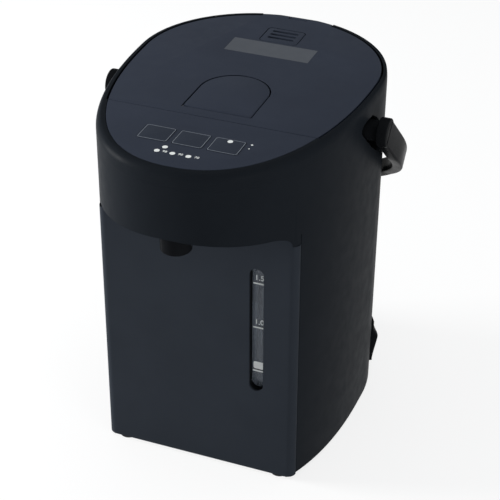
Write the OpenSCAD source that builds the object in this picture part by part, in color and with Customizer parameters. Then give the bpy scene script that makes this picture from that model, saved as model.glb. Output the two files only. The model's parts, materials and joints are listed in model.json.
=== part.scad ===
// Electric thermo pot: oval body with an overhanging dispensing head, rear hinged lid,
// folding carry handle, motor pump, inner container and electrics.
// Units are millimetres. +Z is up, the dispensing side faces -Y.
// The origin is on the table, below the centre of the outline with the handle folded back.

/* [Body] */
// Height of the lid and control face above the table
total_h = 275; // [272:1:290]
// Width of the body at its widest
body_w = 188; // [186:1:200]
// Depth of the body from the head front to the rear wall
body_d = 258; // [256:1:270]
// Distance of the widest line behind the head front
widest_back = 167; // [163:1:170]
// Squareness of the front half of the body outline
front_power = 2.33; // [2.25:0.01:2.45]
// Squareness of the rear half of the body outline
rear_power = 2; // [2:0.01:2.1]
// Thickness of the outer casing walls
wall = 2.5; // [2.2:0.1:2.8]
// Distance that the head overhangs the front panel
overhang = 48; // [46:1:50]
// Radius of the upright corners beside the front panel
corner_r = 6; // [6:0.5:9]
// Height of the rubber feet below the casing
foot_h = 2.5; // [2:0.1:4]
// Radius of a rubber foot
foot_r = 7; // [6:0.5:9]

/* [Head] */
// Height of the shoulder ring
shoulder_h = 12.5; // [12.5:0.1:14]
// Height of the head from its lower edge at the middle to the top
head_h = 53; // [50:1:56]
// Drop of the head's lower edge at its sides
head_edge_sag = 5; // [3:0.5:7]
// Radius where the head's lower edge turns down into the side walls
head_edge_r = 12; // [10:0.5:13]
// Height of the rounded edge at the top of the shoulder ring
edge_h = 6.5; // [4:0.5:8]
// Thickness of the deck under the lid
deck_t = 2.5; // [2:0.1:2.8]
// Squareness of the front half of the flat top
top_power = 2.25; // [2.15:0.01:2.3]
// Distance of the flat top's edge inside the side walls
top_side_set = 1.6; // [1.2:0.1:2.2]
// Distance of the flat top's edge behind the head front
top_setback = 5.3; // [4.5:0.1:6]
// Distance of the flat top's edge in front of the rear wall
top_rear_setback = 1.4; // [1.2:0.1:2]

/* [Lid] */
// Width of the rim between the lid gap and the edge of the flat top
rim_w = 3.65; // [3.4:0.05:4]
// Distance of the control face's edge behind the front of the flat top
face_set = 0.6; // [0.5:0.1:1.5]
// Gap round the sides and rear of the lid
lid_gap = 1.5; // [1.2:0.1:1.6]
// Gap between the lid and the control face
seam_gap = 0.5; // [0.4:0.05:0.8]
// Distance of the lid's front edge behind the head front
seam_back = 77; // [75:1:79]
// Wall of the lid cover
lid_wall = 2.2; // [2:0.1:2.4]
// Thickness of the plate that closes the lid below
lid_base_t = 3; // [2.8:0.1:3.2]
// Running gap between the lid and the deck
deck_gap = 0.4; // [0.3:0.05:0.5]
// Depth of the round plug that hangs into the container
plug_depth = 22; // [18:1:26]
// Gap between the plug and the container's mouth
plug_gap = 6; // [5:0.5:9]
// Radius of the lid hinge barrel
lid_barrel_r = 2.9; // [2.7:0.1:3]
// Half width of the hinge tail
tail_hw = 27.8; // [24:0.2:28]
// Half width of the hinge knuckle that stands on the shoulder ring
knuckle_hw = 7; // [5:0.5:8]
// Half length of the lid hinge pin
hinge_pin_hl = 14; // [12:0.5:14.5]
// Radius of the lid hinge pin
hinge_pin_r = 1.3; // [1.1:0.1:1.5]
// Distance of the hinge pin in front of the rear wall
hinge_set = 4.2; // [4.1:0.1:4.4]

/* [Lid lever] */
// Half width of the release lever
lever_hw = 25.2; // [22:0.2:27]
// Distance of the lever's straight front edge behind the lid's front edge
lever_back = 10.2; // [9:0.2:12]
// Length of the lever's straight sides
lever_side = 32.6; // [28:0.2:34]
// Thickness of the lever plate
lever_t = 2.2; // [2:0.1:2.4]
// Gap round the lever
lever_gap = 0.5; // [0.4:0.05:0.7]
// Radius of the lever pin
lever_pin_r = 1; // [0.8:0.1:1.1]
// Radius of the round front edge of the lever
lever_nose_r = 2.5; // [2.3:0.1:2.6]

/* [Controls] */
// Width of a button
button_w = 21.2; // [19:0.2:22]
// Depth of a button
button_d = 18.6; // [17:0.2:20]
// Corner radius of a button
button_r = 1.5; // [1:0.1:3]
// Spacing of the buttons
button_pitch = 25.2; // [24.8:0.1:27]
// Distance of the button row behind the head front
button_back = 44.3; // [43:0.1:46]
// Gap round a button
button_gap = 0.35; // [0.3:0.05:0.5]
// Travel of a button
button_travel = 0.8; // [0.5:0.1:0.8]
// Thickness of the control face
face_t = 2.2; // [2:0.1:2.4]
// Radius of an indicator lens
lens_r = 1.9; // [1.5:0.1:2]
// Radius of the small indicator beside the buttons
small_lens_r = 0.8; // [0.6:0.1:1]

/* [Water gauge] */
// Width of the gauge window
gauge_w = 10.6; // [10.2:0.2:13]
// Distance of the gauge window's upper end below the head's lower edge
gauge_drop = 41; // [36:1:50]
// Corner radius of the gauge window
gauge_r = 5; // [2:0.5:5]
// Depth of the gauge window behind the front face
gauge_depth = 6; // [4.5:0.5:7]
// Height of the window's lower end above the table
gauge_z = 76; // [74:1:84]
// Distance of the gauge from the middle of the panel
gauge_x = 45.6; // [44:0.2:50]
// Outer radius of the sight tube
tube_r = 4.5; // [4.2:0.1:4.8]
// Bore radius of the sight tube and the hoses
tube_bore = 3.2; // [3:0.1:3.4]

/* [Container] */
// Distance from the lid's front edge to the container's mouth
mouth_front_room = 20.5; // [19.5:0.5:22]
// Distance from the container's mouth to the rear wall
mouth_rear_room = 34; // [33:0.5:36]
// Width of the container's shoulder inside its wall, round the mouth
mouth_step = 4; // [3:0.5:5]
// Thickness of the container's steel
steel_t = 1; // [0.8:0.1:1.2]
// Height of the container floor above the table
container_z = 63; // [62:1:66]
// Thickness of the insulation jacket
jacket_t = 6; // [4:0.5:6.5]

/* [Carry handle] */
// Distance of the handle pivots behind the head front
pivot_back = 144; // [142:1:146]
// Depth of the handle pivots below the top
pivot_drop = 23.5; // [23.5:0.1:24.5]
// Angle of the folded handle below level
fold_angle = 44.4; // [42:0.1:46]
// Width of the handle band
band_w = 19.4; // [18:0.2:20]
// Gap between the side wall and a handle arm
arm_gap = 6.2; // [5:0.1:7]
// Thickness of the handle arms
arm_t = 8; // [7:0.1:9]
// Thickness of the grip
grip_t = 7; // [6.5:0.1:8]
// Gap between the folded grip and the rear wall
grip_gap = 1.95; // [1.7:0.05:3]
// Length of the straight part of the arms
arm_straight = 40; // [35:1:45]
// Squareness of the grip's bow
grip_power = 2.07; // [2.05:0.01:2.2]
// Radius of the handle pins
handle_pin_r = 4; // [3.5:0.1:4.2]

/* [Power inlet] */
// Angle of the inlet round from the right side towards the rear
inlet_angle = 30; // [28:1:32]
// Width of the inlet housing
inlet_w = 36; // [34:1:40]
// Height of the inlet housing
inlet_h = 38; // [36:1:44]
// Height of the inlet's lower end above the table
inlet_z = 15; // [14:1:17]
// Distance that the inlet stands out of the wall
inlet_out = 5; // [4:0.5:6]

/* [Hidden] */
$fn = 64;

// Clearances
fit = 0.3;              // between pieces of one assembly that are laid side by side
run_gap = 0.05;         // radial running clearance of a pin or shaft
cut = 1;                // how far a cutting shape runs past what it cuts

// Outline steps
oval_steps = 120;
grip_steps = 48;
loft_steps = 72;

// Main places in Y and Z
body_hw = body_w / 2;
fold_c = cos(fold_angle);
fold_s = sin(fold_angle);
reach_in = (body_d - pivot_back + grip_gap + band_w / 2 * fold_s) / fold_c;
reach_out = reach_in + grip_t;
total_d = pivot_back + reach_out * fold_c + band_w / 2 * fold_s;
front_y = -total_d / 2;
rear_y = front_y + body_d;
wide_y = front_y + widest_back;
panel_y = front_y + overhang;
seam_y = front_y + seam_back;
head_edge_z = total_h - head_h;
gauge_h = head_edge_z - gauge_drop - gauge_z;
pivot_y = front_y + pivot_back;
pivot_z = total_h - pivot_drop;
shell_z0 = foot_h;
ring_z0 = total_h - shoulder_h;
deck_z = ring_z0 + deck_t;
plate_t = 2.5;
ledge_h = 2;
ledge_w = 2.5;
base_top = shell_z0 + plate_t;

// Flat top and lid outline
top_hw = body_hw - top_side_set;
top_front = front_y + top_setback;
top_rear = rear_y - top_rear_setback;
top_wide_y = wide_y + 3.5;
lid_front_y = seam_y + seam_gap;
mouth_r = (rear_y - mouth_rear_room - lid_front_y - mouth_front_room) / 2;
container_y = lid_front_y + mouth_front_room + mouth_r;
container_r = mouth_r + mouth_step;
plug_r = mouth_r - plug_gap;

// Lid stack
lid_z0 = deck_z + deck_gap;
lid_base_top = lid_z0 + lid_base_t;
lid_inside_top = total_h - lid_wall;
plug_bottom = lid_z0 - plug_depth;
plug_wall = 2;
inner_plate_t = 1;
hinge_y = rear_y - hinge_set;
hinge_z = total_h - lid_barrel_r;
notch_side = 0.8;
notch_under = 0.6;
knuckle_side = 0.3;
tail_len = 12;
lid_boss_r = 3.5;
lid_boss_places = [[70, 30], [56, -40], [40, 90]];
gasket_in = mouth_r + 1;
gasket_w = 5;
gasket_t = 1.6;

// Lever and latch
lever_front_y = lid_front_y + lever_back;
lever_pin_y = lever_front_y + lever_nose_r;
lever_pin_z = total_h - lever_nose_r;
lever_arc_y = lever_pin_y + lever_side - lever_nose_r;
lever_boss_w = 4;
spring_hw = 6;
spring_t = 0.6;
lug_x = 14;
lug_w = 4;
lug_t = 1.6;
latch_t = 1.4;
latch_z = lid_base_top + 0.2;
latch_hw = 19;
latch_gap = 0.5;
bolt_w = 8;
bolt_x = 15;
bolt_set = 0.7;

// Vent and label on the lid
vent_w = 29;
vent_d = 23.4;
vent_y = rear_y - 39.7;
vent_t = 1.6;
vent_r = 3;
vent_gap = 0.4;
slot_w = 20.6;
slot_d = 2;
slot_pitch = 5.6;
slot_back = 1.2;
duct_reach = 24;
duct_wall = 1.2;
duct_hole_r = 4;
duct_hole_in = 7;
label_w = 65.6;
label_d = 22.2;
label_y = rear_y - 64.9;
label_t = 0.3;
label_gap = 0.1;

// Controls
face_z = total_h - face_t;
face_gap = 0.3;
button_y = front_y + button_back;
button_proud = 0.3;
flange_w = 1.2;
flange_t = 1.4;
flange_z = face_z - 0.4 - flange_t;
board_t = 1.6;
board_w = 92;
board_front = 5;
board_rear = 26;
tongue_w = 44;
tongue_front = 23;
board_z = deck_z;
switch_h = flange_z - 0.6 - 1 - (board_z + board_t);
switch_w = 6;
lens_h = 1.8;
lens_places = [[-12.2, 28.7], [-15.3, 22.5], [-4.2, 22.5], [7.2, 22.5]];
small_lens_places = [[40.2, 52.2]];
lock_lens_y = 6.6;

// Front panel, gauge and water path
corner_x = side_x(0, panel_y + corner_r);
panel_side = 0.2;
panel_hw = corner_x - corner_r - panel_side;
panel_t = 1.5;
panel_lap = 3;
ceiling_z = head_edge_z + 0.4;
arch_side = 3;
arch_hw = corner_x - arch_side - head_edge_r;
corner_edge_z = head_edge_z - head_edge_sag - head_edge_r;
window_t = 1;
bezel_t = 1.6;
tube_gap = 0.3;
tube_z0 = gauge_z - 14;
tube_z1 = gauge_z + gauge_h + 14;
scale_t = 1;
valve_r = 7;
tube_y = panel_y + gauge_depth + window_t + tube_gap + tube_r;
valve_h = 16;
ball_r = 4;
valve_bore = 4.8;
valve_floor = 3;
ball_seat_z = valve_floor + sqrt(ball_r * ball_r - tube_bore * tube_bore) + run_gap;
pipe_r = 5;
pipe_top_z = ring_z0 - 18;
nozzle_y = front_y + 15.6;
nozzle_r = 11;
nozzle_tip_z = head_edge_z - 15.6;
nozzle_wall = 2;
spigot_r = nozzle_r - nozzle_wall;
nozzle_bore = 6;
nozzle_top_z = ceiling_z + plate_t + 3;

// Container and heating
container_bottom = container_z - steel_t;
flange_r = container_r + 4;
rubber_t = 1.5;
container_top = ring_z0 - rubber_t;
jacket_z0 = container_z + 8;
jacket_z1 = head_edge_z - 6;
heater_in = 12;
heater_out = 56;
heater_t = 3;
post_r = 4;
post_ring = container_r - 5;
post_angles = [90, 200, 340];

// Pump on its own axis below the container
pump_x = -30;
pump_y = container_y - 30;
pump_r = 20;
motor_r = 13;
motor_z = base_top + 3;
motor_h = 18;
shaft_r = 1;
magnet_r = 11;
magnet_t = 3;
magnet_z = motor_z + motor_h + 1.2;
casing_z = magnet_z + magnet_t + 1;
casing_t = 1.5;
chamber_h = 10;
casing_top = casing_z + 2 * casing_t + chamber_h;
impeller_r = 15;
impeller_pin_r = 1.5;
outlet_z = casing_z + casing_t + chamber_h / 2;
hose_front_y = tube_y;
nipple = 4;

// Handle
arm_in = body_hw + arm_gap;
arm_out = arm_in + arm_t;
arm_end_r = band_w / 2 + 0.8;
arm_end_step = 0.3;
pivot_hub_r = 7.4;
socket_floor = body_hw - 8.5;
socket_wall = 2.5;
pin_head_r = 6.4;
pin_head_t = 1.6;
pocket = [[-21, 8], [-8, 10], [4, 9.6], [14, 3.2], [36, -16], [25, -31], [8, -19]];
pocket_r = 4;
pocket_grow = 2.2;

// Power inlet
inlet_k = 1 / sqrt(pow(body_hw * cos(inlet_angle), 2) + pow((rear_y - wide_y) * sin(inlet_angle), 2));
inlet_x = body_hw * body_hw * cos(inlet_angle) * inlet_k;
inlet_y = wide_y + (rear_y - wide_y) * (rear_y - wide_y) * sin(inlet_angle) * inlet_k;
inlet_deep = 15;
inlet_floor_t = 3;
inlet_lip = 2.5;
inlet_lip_deep = 8;
recess_w = 24;
recess_h = 15;
recess_z = inlet_z + inlet_h / 2;
inlet_pin_r = 2;
inlet_pin_x = 6.6;
inlet_pin_len = 8;

// Base
foot_x = 62;
foot_in = 1.2;
foot_front_y = panel_y + foot_r + foot_in;
foot_rear_y = rear_y - 38;
foot_rear_x = 46;
foot_stem_r = 2.5;
screw_r = 1.5;
screw_head_r = 3;
screw_head_t = 1.6;
screw_len = 11;

// Electronics
power_w = 62;
power_d = 50;
power_x = 21;
power_y = container_y + 6;
power_z = base_top + 5;
standoff_r = 2.5;
board_blocks = [[-22, -14, 16, 20, 15], [-2, -18, 12, 9, 10]];   // corner in X and Y, then the three sizes
board_cans = [[4, 4, 6, 20], [18, -12, 5, 14]];                  // middle in X and Y, radius and height
wire_r = 1.1;
wire_lead = 6;
wire_rise = 8;
wire_pitch = 6;
terminal_x = 14;
terminal_y = 18;

// ---------- outlines ----------

function spow(v, p) = sign(v) * pow(abs(v), p);

// Closed oval: half width, widest line, front and rear ends, powers, steps
function oval(hw, wy, fy, ry, fp, rp, steps) = [
    for (i = [0 : steps - 1])
        let (a = 360 * i / steps, s = sin(a), p = s < 0 ? fp : rp, d = s < 0 ? wy - fy : ry - wy)
        [hw * spow(cos(a), 2 / p), wy + d * spow(s, 2 / p)]
];

function body_oval(inset, steps) =
    oval(body_hw - inset, wide_y, front_y + inset, rear_y - inset, front_power, rear_power, steps);

function top_oval(inset, steps) =
    oval(top_hw - inset, top_wide_y, top_front + inset, top_rear - inset, top_power, 2, steps);

// Outline of the lid, which the control face carries on to the front
function lid_oval(inset, steps) =
    oval(top_hw - rim_w - inset, top_wide_y, top_front + face_set + inset, top_rear - rim_w - inset,
        top_power, 2, steps);

// Half width of the body outline at a place in front of the widest line
function side_x(inset, y) =
    (body_hw - inset) * pow(1 - pow((wide_y - y) / (wide_y - front_y - inset), front_power),
        1 / front_power);

// Ring of points at height z between two outlines
function blend_ring(low, high, w, z) = [
    for (i = [0 : len(low) - 1]) [low[i][0] * (1 - w) + high[i][0] * w, low[i][1] * (1 - w) + high[i][1] * w, z]
];

module loft(rings) {
    n = len(rings[0]);
    m = len(rings);
    points = [for (r = rings) for (p = r) p];
    sides = [
        for (j = [0 : m - 2]) for (i = [0 : n - 1])
            let (a = j * n + i, b = j * n + (i + 1) % n)
            each [[a, a + n, b], [b, a + n, b + n]]
    ];
    bottom = [[for (i = [0 : n - 1]) i]];
    top = [[for (i = [n - 1 : -1 : 0]) (m - 1) * n + i]];
    polyhedron(points, concat(sides, bottom, top));
}

module slab(z0, z1) {
    translate([0, 0, z0])
        linear_extrude(z1 - z0)
            children();
}

// Everything behind (side 1) or in front (side -1) of the line at y
module half_plane(y, side) {
    translate([-body_w, side > 0 ? y : y - 2 * body_d])
        square([2 * body_w, 2 * body_d]);
}

module rounded_rect(w, d, r) {
    translate([-w / 2 + r, -d / 2]) square([w - 2 * r, d]);
    translate([-w / 2, -d / 2 + r]) square([w, d - 2 * r]);
    for (sx = [-1, 1], sy = [-1, 1])
        translate([sx * (w / 2 - r), sy * (d / 2 - r)])
            circle(r, $fn = 32);
}

module ring_solid(r_out, r_in, z0, z1) {
    difference() {
        translate([0, 0, z0]) cylinder(r = r_out, h = z1 - z0);
        translate([0, 0, z0 - cut]) cylinder(r = r_in, h = z1 - z0 + 2 * cut);
    }
}

module x_cylinder(r, x0, x1, y, z) {
    translate([x0, y, z])
        rotate([0, 90, 0])
            cylinder(r = r, h = x1 - x0);
}

// Round runs along a route; square elbow pieces suit runs along the axes, round ones any run.
// The two ends of the route run on by past.
module route(points, r, square_elbows = false, past = 0) {
    last = len(points) - 2;
    elbow_r = 1.2 * r;
    for (i = [0 : last]) {
        d = points[i + 1] - points[i];
        l = norm(d);
        before = i == 0 ? past : 0;
        after = i == last ? past : 0;
        translate(points[i])
            rotate([0, acos(d[2] / l), atan2(d[1], d[0])])
                translate([0, 0, -before])
                    cylinder(r = r, h = l + before + after, $fn = 32);
    }
    for (i = [1 : 1 : last])
        translate(points[i])
            if (square_elbows)
                cube(2 * elbow_r, center = true);
            else
                sphere(elbow_r, $fn = 32);
}

// ---------- casing ----------

// Plan of the space in front of the panel, with the rounded upright corners left standing
module bay_plan(inset) {
    y0 = panel_y + corner_r;
    x0 = side_x(inset, y0);
    r = corner_r - inset;
    difference() {
        half_plane(y0, -1);
        translate([-x0 + r, panel_y + inset]) square([2 * (x0 - r), corner_r + cut]);
        for (s = [-1, 1])
            translate([s * (x0 - r), y0]) circle(r);
    }
}

// Front view of the space below the head: arched top edge with rounded ends
module bay_front() {
    arch_steps = 16;
    arch = [for (i = [0 : arch_steps])
        let (x = arch_hw * (2 * i / arch_steps - 1))
        [x, head_edge_z - head_edge_sag * pow(x / arch_hw, 2)]];
    turn_z = head_edge_z - head_edge_sag - head_edge_r;
    right = [for (a = [80 : -10 : 0]) [arch_hw + head_edge_r * cos(a), turn_z + head_edge_r * sin(a)]];
    left = [for (a = [180 : -10 : 100]) [-arch_hw + head_edge_r * cos(a), turn_z + head_edge_r * sin(a)]];
    polygon(concat([[-body_w, -cut], [-body_w, turn_z]], left, arch, right,
        [[body_w, turn_z], [body_w, -cut]]));
}

module bay(inset) {
    intersection() {
        slab(-2 * cut, head_edge_z + cut) bay_plan(inset);
        translate([0, body_d, 0])
            rotate([90, 0, 0])
                linear_extrude(2 * body_d)
                    bay_front();
    }
}

module inlet_frame() {
    translate([inlet_x, inlet_y, 0])
        rotate([0, 0, inlet_angle])
            children();
}

// Corner points turned into arcs; the outline grows outwards by grow
function unit(v) = v / norm(v);
function arc_corners(pts, r, grow) = [
    for (i = [0 : len(pts) - 1])
        let (
            p = pts[i],
            u = unit(pts[(i + len(pts) - 1) % len(pts)] - p),
            v = unit(pts[(i + 1) % len(pts)] - p),
            half = acos(u * v) / 2,
            c = p + unit(u + v) * r / sin(half),
            mid = atan2(-(u + v)[1], -(u + v)[0])
        )
        for (k = [2 : -1 : -2])
            let (a = mid + k / 2 * (90 - half))
            c + (r + grow) * [cos(a), sin(a)]
];

module pocket_plan(grow) {
    polygon(arc_corners(pocket, pocket_r, grow));
}

// Puts a plan drawn in (Y, Z) about the handle pivot at x0, thick towards +X
module side_slab(x0, x1) {
    translate([x0, pivot_y, pivot_z])
        rotate([90, 0, 90])
            linear_extrude(x1 - x0)
                children();
}

module both_sides() {
    children();
    mirror([1, 0, 0]) children();
}

// Ledges inside the casing: the base plate bears up on one, the head's underside on the other
module casing_ledges() {
    slab(base_top, base_top + ledge_h)
        difference() {
            base_plan(-0.5);
            base_plan(ledge_w);
        }
    slab(ceiling_z + plate_t, ceiling_z + plate_t + ledge_h)
        difference() {
            intersection() {
                polygon(body_oval(wall - 0.5, oval_steps));
                half_plane(panel_y, -1);
            }
            polygon(body_oval(wall + ledge_w, oval_steps));
        }
}

module body_shell() {
    color([0.12, 0.13, 0.15])
    difference() {
        union() {
            difference() {
                slab(shell_z0, ring_z0) polygon(body_oval(0, oval_steps));
                bay(0);
                difference() {
                    slab(shell_z0 - cut, ring_z0 + cut) polygon(body_oval(wall, oval_steps));
                    bay(wall);
                }
            }
            casing_ledges();
        }
        translate([-panel_hw, panel_y - cut, shell_z0 - cut])
            cube([2 * panel_hw, panel_t + cut, head_edge_z - shell_z0 + cut]);
        translate([-panel_hw + panel_lap, panel_y - cut, shell_z0 + panel_lap])
            cube([2 * (panel_hw - panel_lap), wall + 2 * cut, head_edge_z - shell_z0 - panel_lap]);
        both_sides()
            side_slab(socket_floor, body_hw + cut) pocket_plan(0);
        inlet_frame()
            translate([-inlet_deep, -inlet_w / 2 - fit, inlet_z - fit])
                cube([inlet_deep + inlet_out + cut, inlet_w + 2 * fit, inlet_h + 2 * fit]);
    }
}

module front_panel() {
    color([0.11, 0.12, 0.13])
    difference() {
        translate([-panel_hw + fit, panel_y, shell_z0])
            cube([2 * (panel_hw - fit), panel_t, ceiling_z - shell_z0]);
        translate([gauge_x, panel_y - cut, gauge_z + gauge_h / 2])
            rotate([-90, 0, 0])
                linear_extrude(panel_t + 2 * cut)
                    rounded_rect(gauge_w, gauge_h, gauge_r);
        // the head edge is arched, so the panel's upper corners are cut to it
        translate([0, body_d, 0])
            rotate([90, 0, 0])
                linear_extrude(2 * body_d)
                    difference() {
                        translate([-body_w, corner_edge_z]) square([2 * body_w, body_w]);
                        bay_front();
                        translate([-arch_hw, 0]) square([2 * arch_hw, total_h]);
                    }
    }
}

module head_underside() {
    color([0.07, 0.07, 0.08])
    difference() {
        slab(ceiling_z, ceiling_z + plate_t)
            intersection() {
                polygon(body_oval(wall + fit, oval_steps));
                half_plane(panel_y, -1);
                square([2 * (arch_hw + head_edge_r), 2 * body_d], center = true);
            }
        translate([0, nozzle_y, 0]) cylinder(r = spigot_r + run_gap, h = total_h);
    }
}

// Notch in the shoulder ring for the lid's hinge tail
module hinge_notch() {
    difference() {
        slab(hinge_z - lid_barrel_r - notch_under, total_h + cut)
            translate([-tail_hw - notch_side, hinge_y - lid_barrel_r - notch_side])
                square([2 * (tail_hw + notch_side), body_d]);
        hinge_knuckle();
    }
}

module hinge_knuckle() {
    x_cylinder(lid_barrel_r, -knuckle_hw, knuckle_hw, hinge_y, hinge_z);
    translate([-knuckle_hw, hinge_y - lid_barrel_r, deck_z - cut])
        cube([2 * knuckle_hw, 2 * lid_barrel_r, hinge_z - deck_z + cut]);
}

module shoulder_ring() {
    low = body_oval(0, loft_steps);
    high = top_oval(0, loft_steps);
    board_in = 9;
    color([0.16, 0.17, 0.19])
    difference() {
        loft(concat([blend_ring(low, high, 0, ring_z0)], [for (a = [0 : 18 : 90])
            blend_ring(low, high, 1 - cos(a), total_h - edge_h + edge_h * sin(a))]));
        difference() {
            slab(deck_z, total_h + cut)
                intersection() {
                    polygon(lid_oval(-lid_gap, oval_steps));
                    half_plane(seam_y, 1);
                }
            hinge_knuckle();
        }
        slab(face_z, total_h + cut)
            intersection() {
                polygon(lid_oval(-face_gap, oval_steps));
                half_plane(seam_y, -1);
            }
        slab(deck_z, face_z + cut)
            intersection() {
                polygon(top_oval(board_in, oval_steps));
                half_plane(seam_y - 4, -1);
            }
        translate([0, container_y, ring_z0 - cut]) cylinder(r = mouth_r, h = deck_t + 2 * cut);
        hinge_notch();
        x_cylinder(hinge_pin_r, -knuckle_hw - cut, knuckle_hw + cut, hinge_y, hinge_z);
    }
}

module base_plan(inset) {
    difference() {
        polygon(body_oval(wall + inset, oval_steps));
        bay_plan(wall + inset);
    }
}

module base_plate() {
    color([0.1, 0.1, 0.11])
    difference() {
        slab(shell_z0, base_top) base_plan(fit);
        for (p = foot_places())
            translate([p[0], p[1], 0]) cylinder(r = foot_stem_r, h = total_h, $fn = 32);
        for (p = post_places()) {
            translate([p[0], p[1], 0]) cylinder(r = screw_r + 0.3, h = total_h, $fn = 32);
            translate([p[0], p[1], 0]) cylinder(r = screw_head_r + 0.3, h = shell_z0 + screw_head_t, $fn = 32);
        }
    }
}

function foot_places() = [for (s = [-1, 1]) each [[s * foot_x, foot_front_y], [s * foot_rear_x, foot_rear_y]]];

function post_places() = [for (a = post_angles) [post_ring * cos(a), container_y + post_ring * sin(a)]];

module rubber_feet() {
    color([0.06, 0.06, 0.06])
    for (p = foot_places())
        translate([p[0], p[1], 0]) {
            cylinder(r = foot_r, h = foot_h);
            cylinder(r = foot_stem_r, h = base_top + 0.6, $fn = 32);
        }
}

module base_screws() {
    color([0.6, 0.6, 0.62])
    for (p = post_places())
        translate([p[0], p[1], shell_z0]) {
            cylinder(r = screw_head_r, h = screw_head_t, $fn = 32);
            cylinder(r = screw_r, h = screw_len, $fn = 32);
        }
}

// ---------- head and controls ----------

module button_hole(gap) {
    rounded_rect(button_w + 2 * gap, button_d + 2 * gap, button_r + gap);
}

module control_panel() {
    color([0.18, 0.19, 0.21])
    difference() {
        slab(face_z, total_h)
            difference() {
                intersection() {
                    polygon(lid_oval(0, oval_steps));
                    half_plane(seam_y, -1);
                }
                for (k = [-1 : 1])
                    translate([k * button_pitch, button_y]) button_hole(button_gap);
            }
        for (p = lens_places)
            translate([p[0], front_y + p[1], face_z - cut])
                cylinder(r = lens_r, h = face_t + 2 * cut, $fn = 32);
        for (p = small_lens_places)
            translate([p[0], front_y + p[1], face_z - cut])
                cylinder(r = small_lens_r, h = face_t + 2 * cut, $fn = 32);
    }
}

module button(k) {
    stem_r = 2;
    color([0.2, 0.21, 0.23])
    translate([k * button_pitch, button_y, 0]) {
        slab(flange_z, total_h + button_proud) button_hole(0);
        slab(flange_z, flange_z + flange_t) button_hole(flange_w);
        translate([0, 0, flange_z - 0.6]) cylinder(r = stem_r, h = flange_t, $fn = 32);
    }
}

module keep_warm_button() {
    button(-1);
}

module dispense_button() {
    button(0);
}

module at_lock_lens() {
    translate([button_pitch, button_y + lock_lens_y, total_h + button_proud - lens_h])
        children();
}

module unlock_button() {
    difference() {
        button(1);
        at_lock_lens() cylinder(r = lens_r, h = lens_h + cut, $fn = 32);
    }
}

module lock_lens() {
    color([0.9, 0.9, 0.88])
    at_lock_lens() cylinder(r = lens_r, h = lens_h, $fn = 32);
}

module indicator_lenses() {
    color([0.9, 0.9, 0.88]) {
        for (p = lens_places)
            translate([p[0], front_y + p[1], total_h - lens_h])
                cylinder(r = lens_r, h = lens_h + 0.05, $fn = 32);
        for (p = small_lens_places)
            translate([p[0], front_y + p[1], total_h - lens_h])
                cylinder(r = small_lens_r, h = lens_h + 0.05, $fn = 32);
    }
}

module control_board() {
    color([0.1, 0.35, 0.2])
    slab(board_z, board_z + board_t) {
        translate([-board_w / 2, button_y - board_front]) square([board_w, board_front + board_rear]);
        translate([-tongue_w / 2, button_y - tongue_front]) square([tongue_w, tongue_front]);
    }
}

module tact_switches() {
    color([0.15, 0.15, 0.15])
    for (k = [-1 : 1])
        translate([k * button_pitch - switch_w / 2, button_y - switch_w / 2, board_z + board_t])
            cube([switch_w, switch_w, switch_h]);
}

// ---------- lid ----------

module lid_plan(inset) {
    intersection() {
        polygon(lid_oval(inset, oval_steps));
        half_plane(lid_front_y + inset, 1);
    }
}

module lever_plan(gap) {
    translate([-lever_hw - gap, lever_pin_y - (gap > 0 ? lever_nose_r + gap : 0)])
        square([2 * (lever_hw + gap), lever_arc_y - lever_pin_y + (gap > 0 ? lever_nose_r + gap : 0)]);
    intersection() {
        translate([0, lever_arc_y]) circle(lever_hw + gap, $fn = 96);
        half_plane(lever_arc_y - 0.01, 1);
    }
}

// Tail of the lid with its rounded end on the hinge line, kept inside the body outline
module lid_tail() {
    intersection() {
        union() {
            x_cylinder(lid_barrel_r, -tail_hw, tail_hw, hinge_y, hinge_z);
            translate([-tail_hw, hinge_y - tail_len, hinge_z - lid_barrel_r])
                cube([2 * tail_hw, tail_len, 2 * lid_barrel_r]);
        }
        slab(0, total_h) polygon(body_oval(0.5, oval_steps));
    }
}

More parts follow.
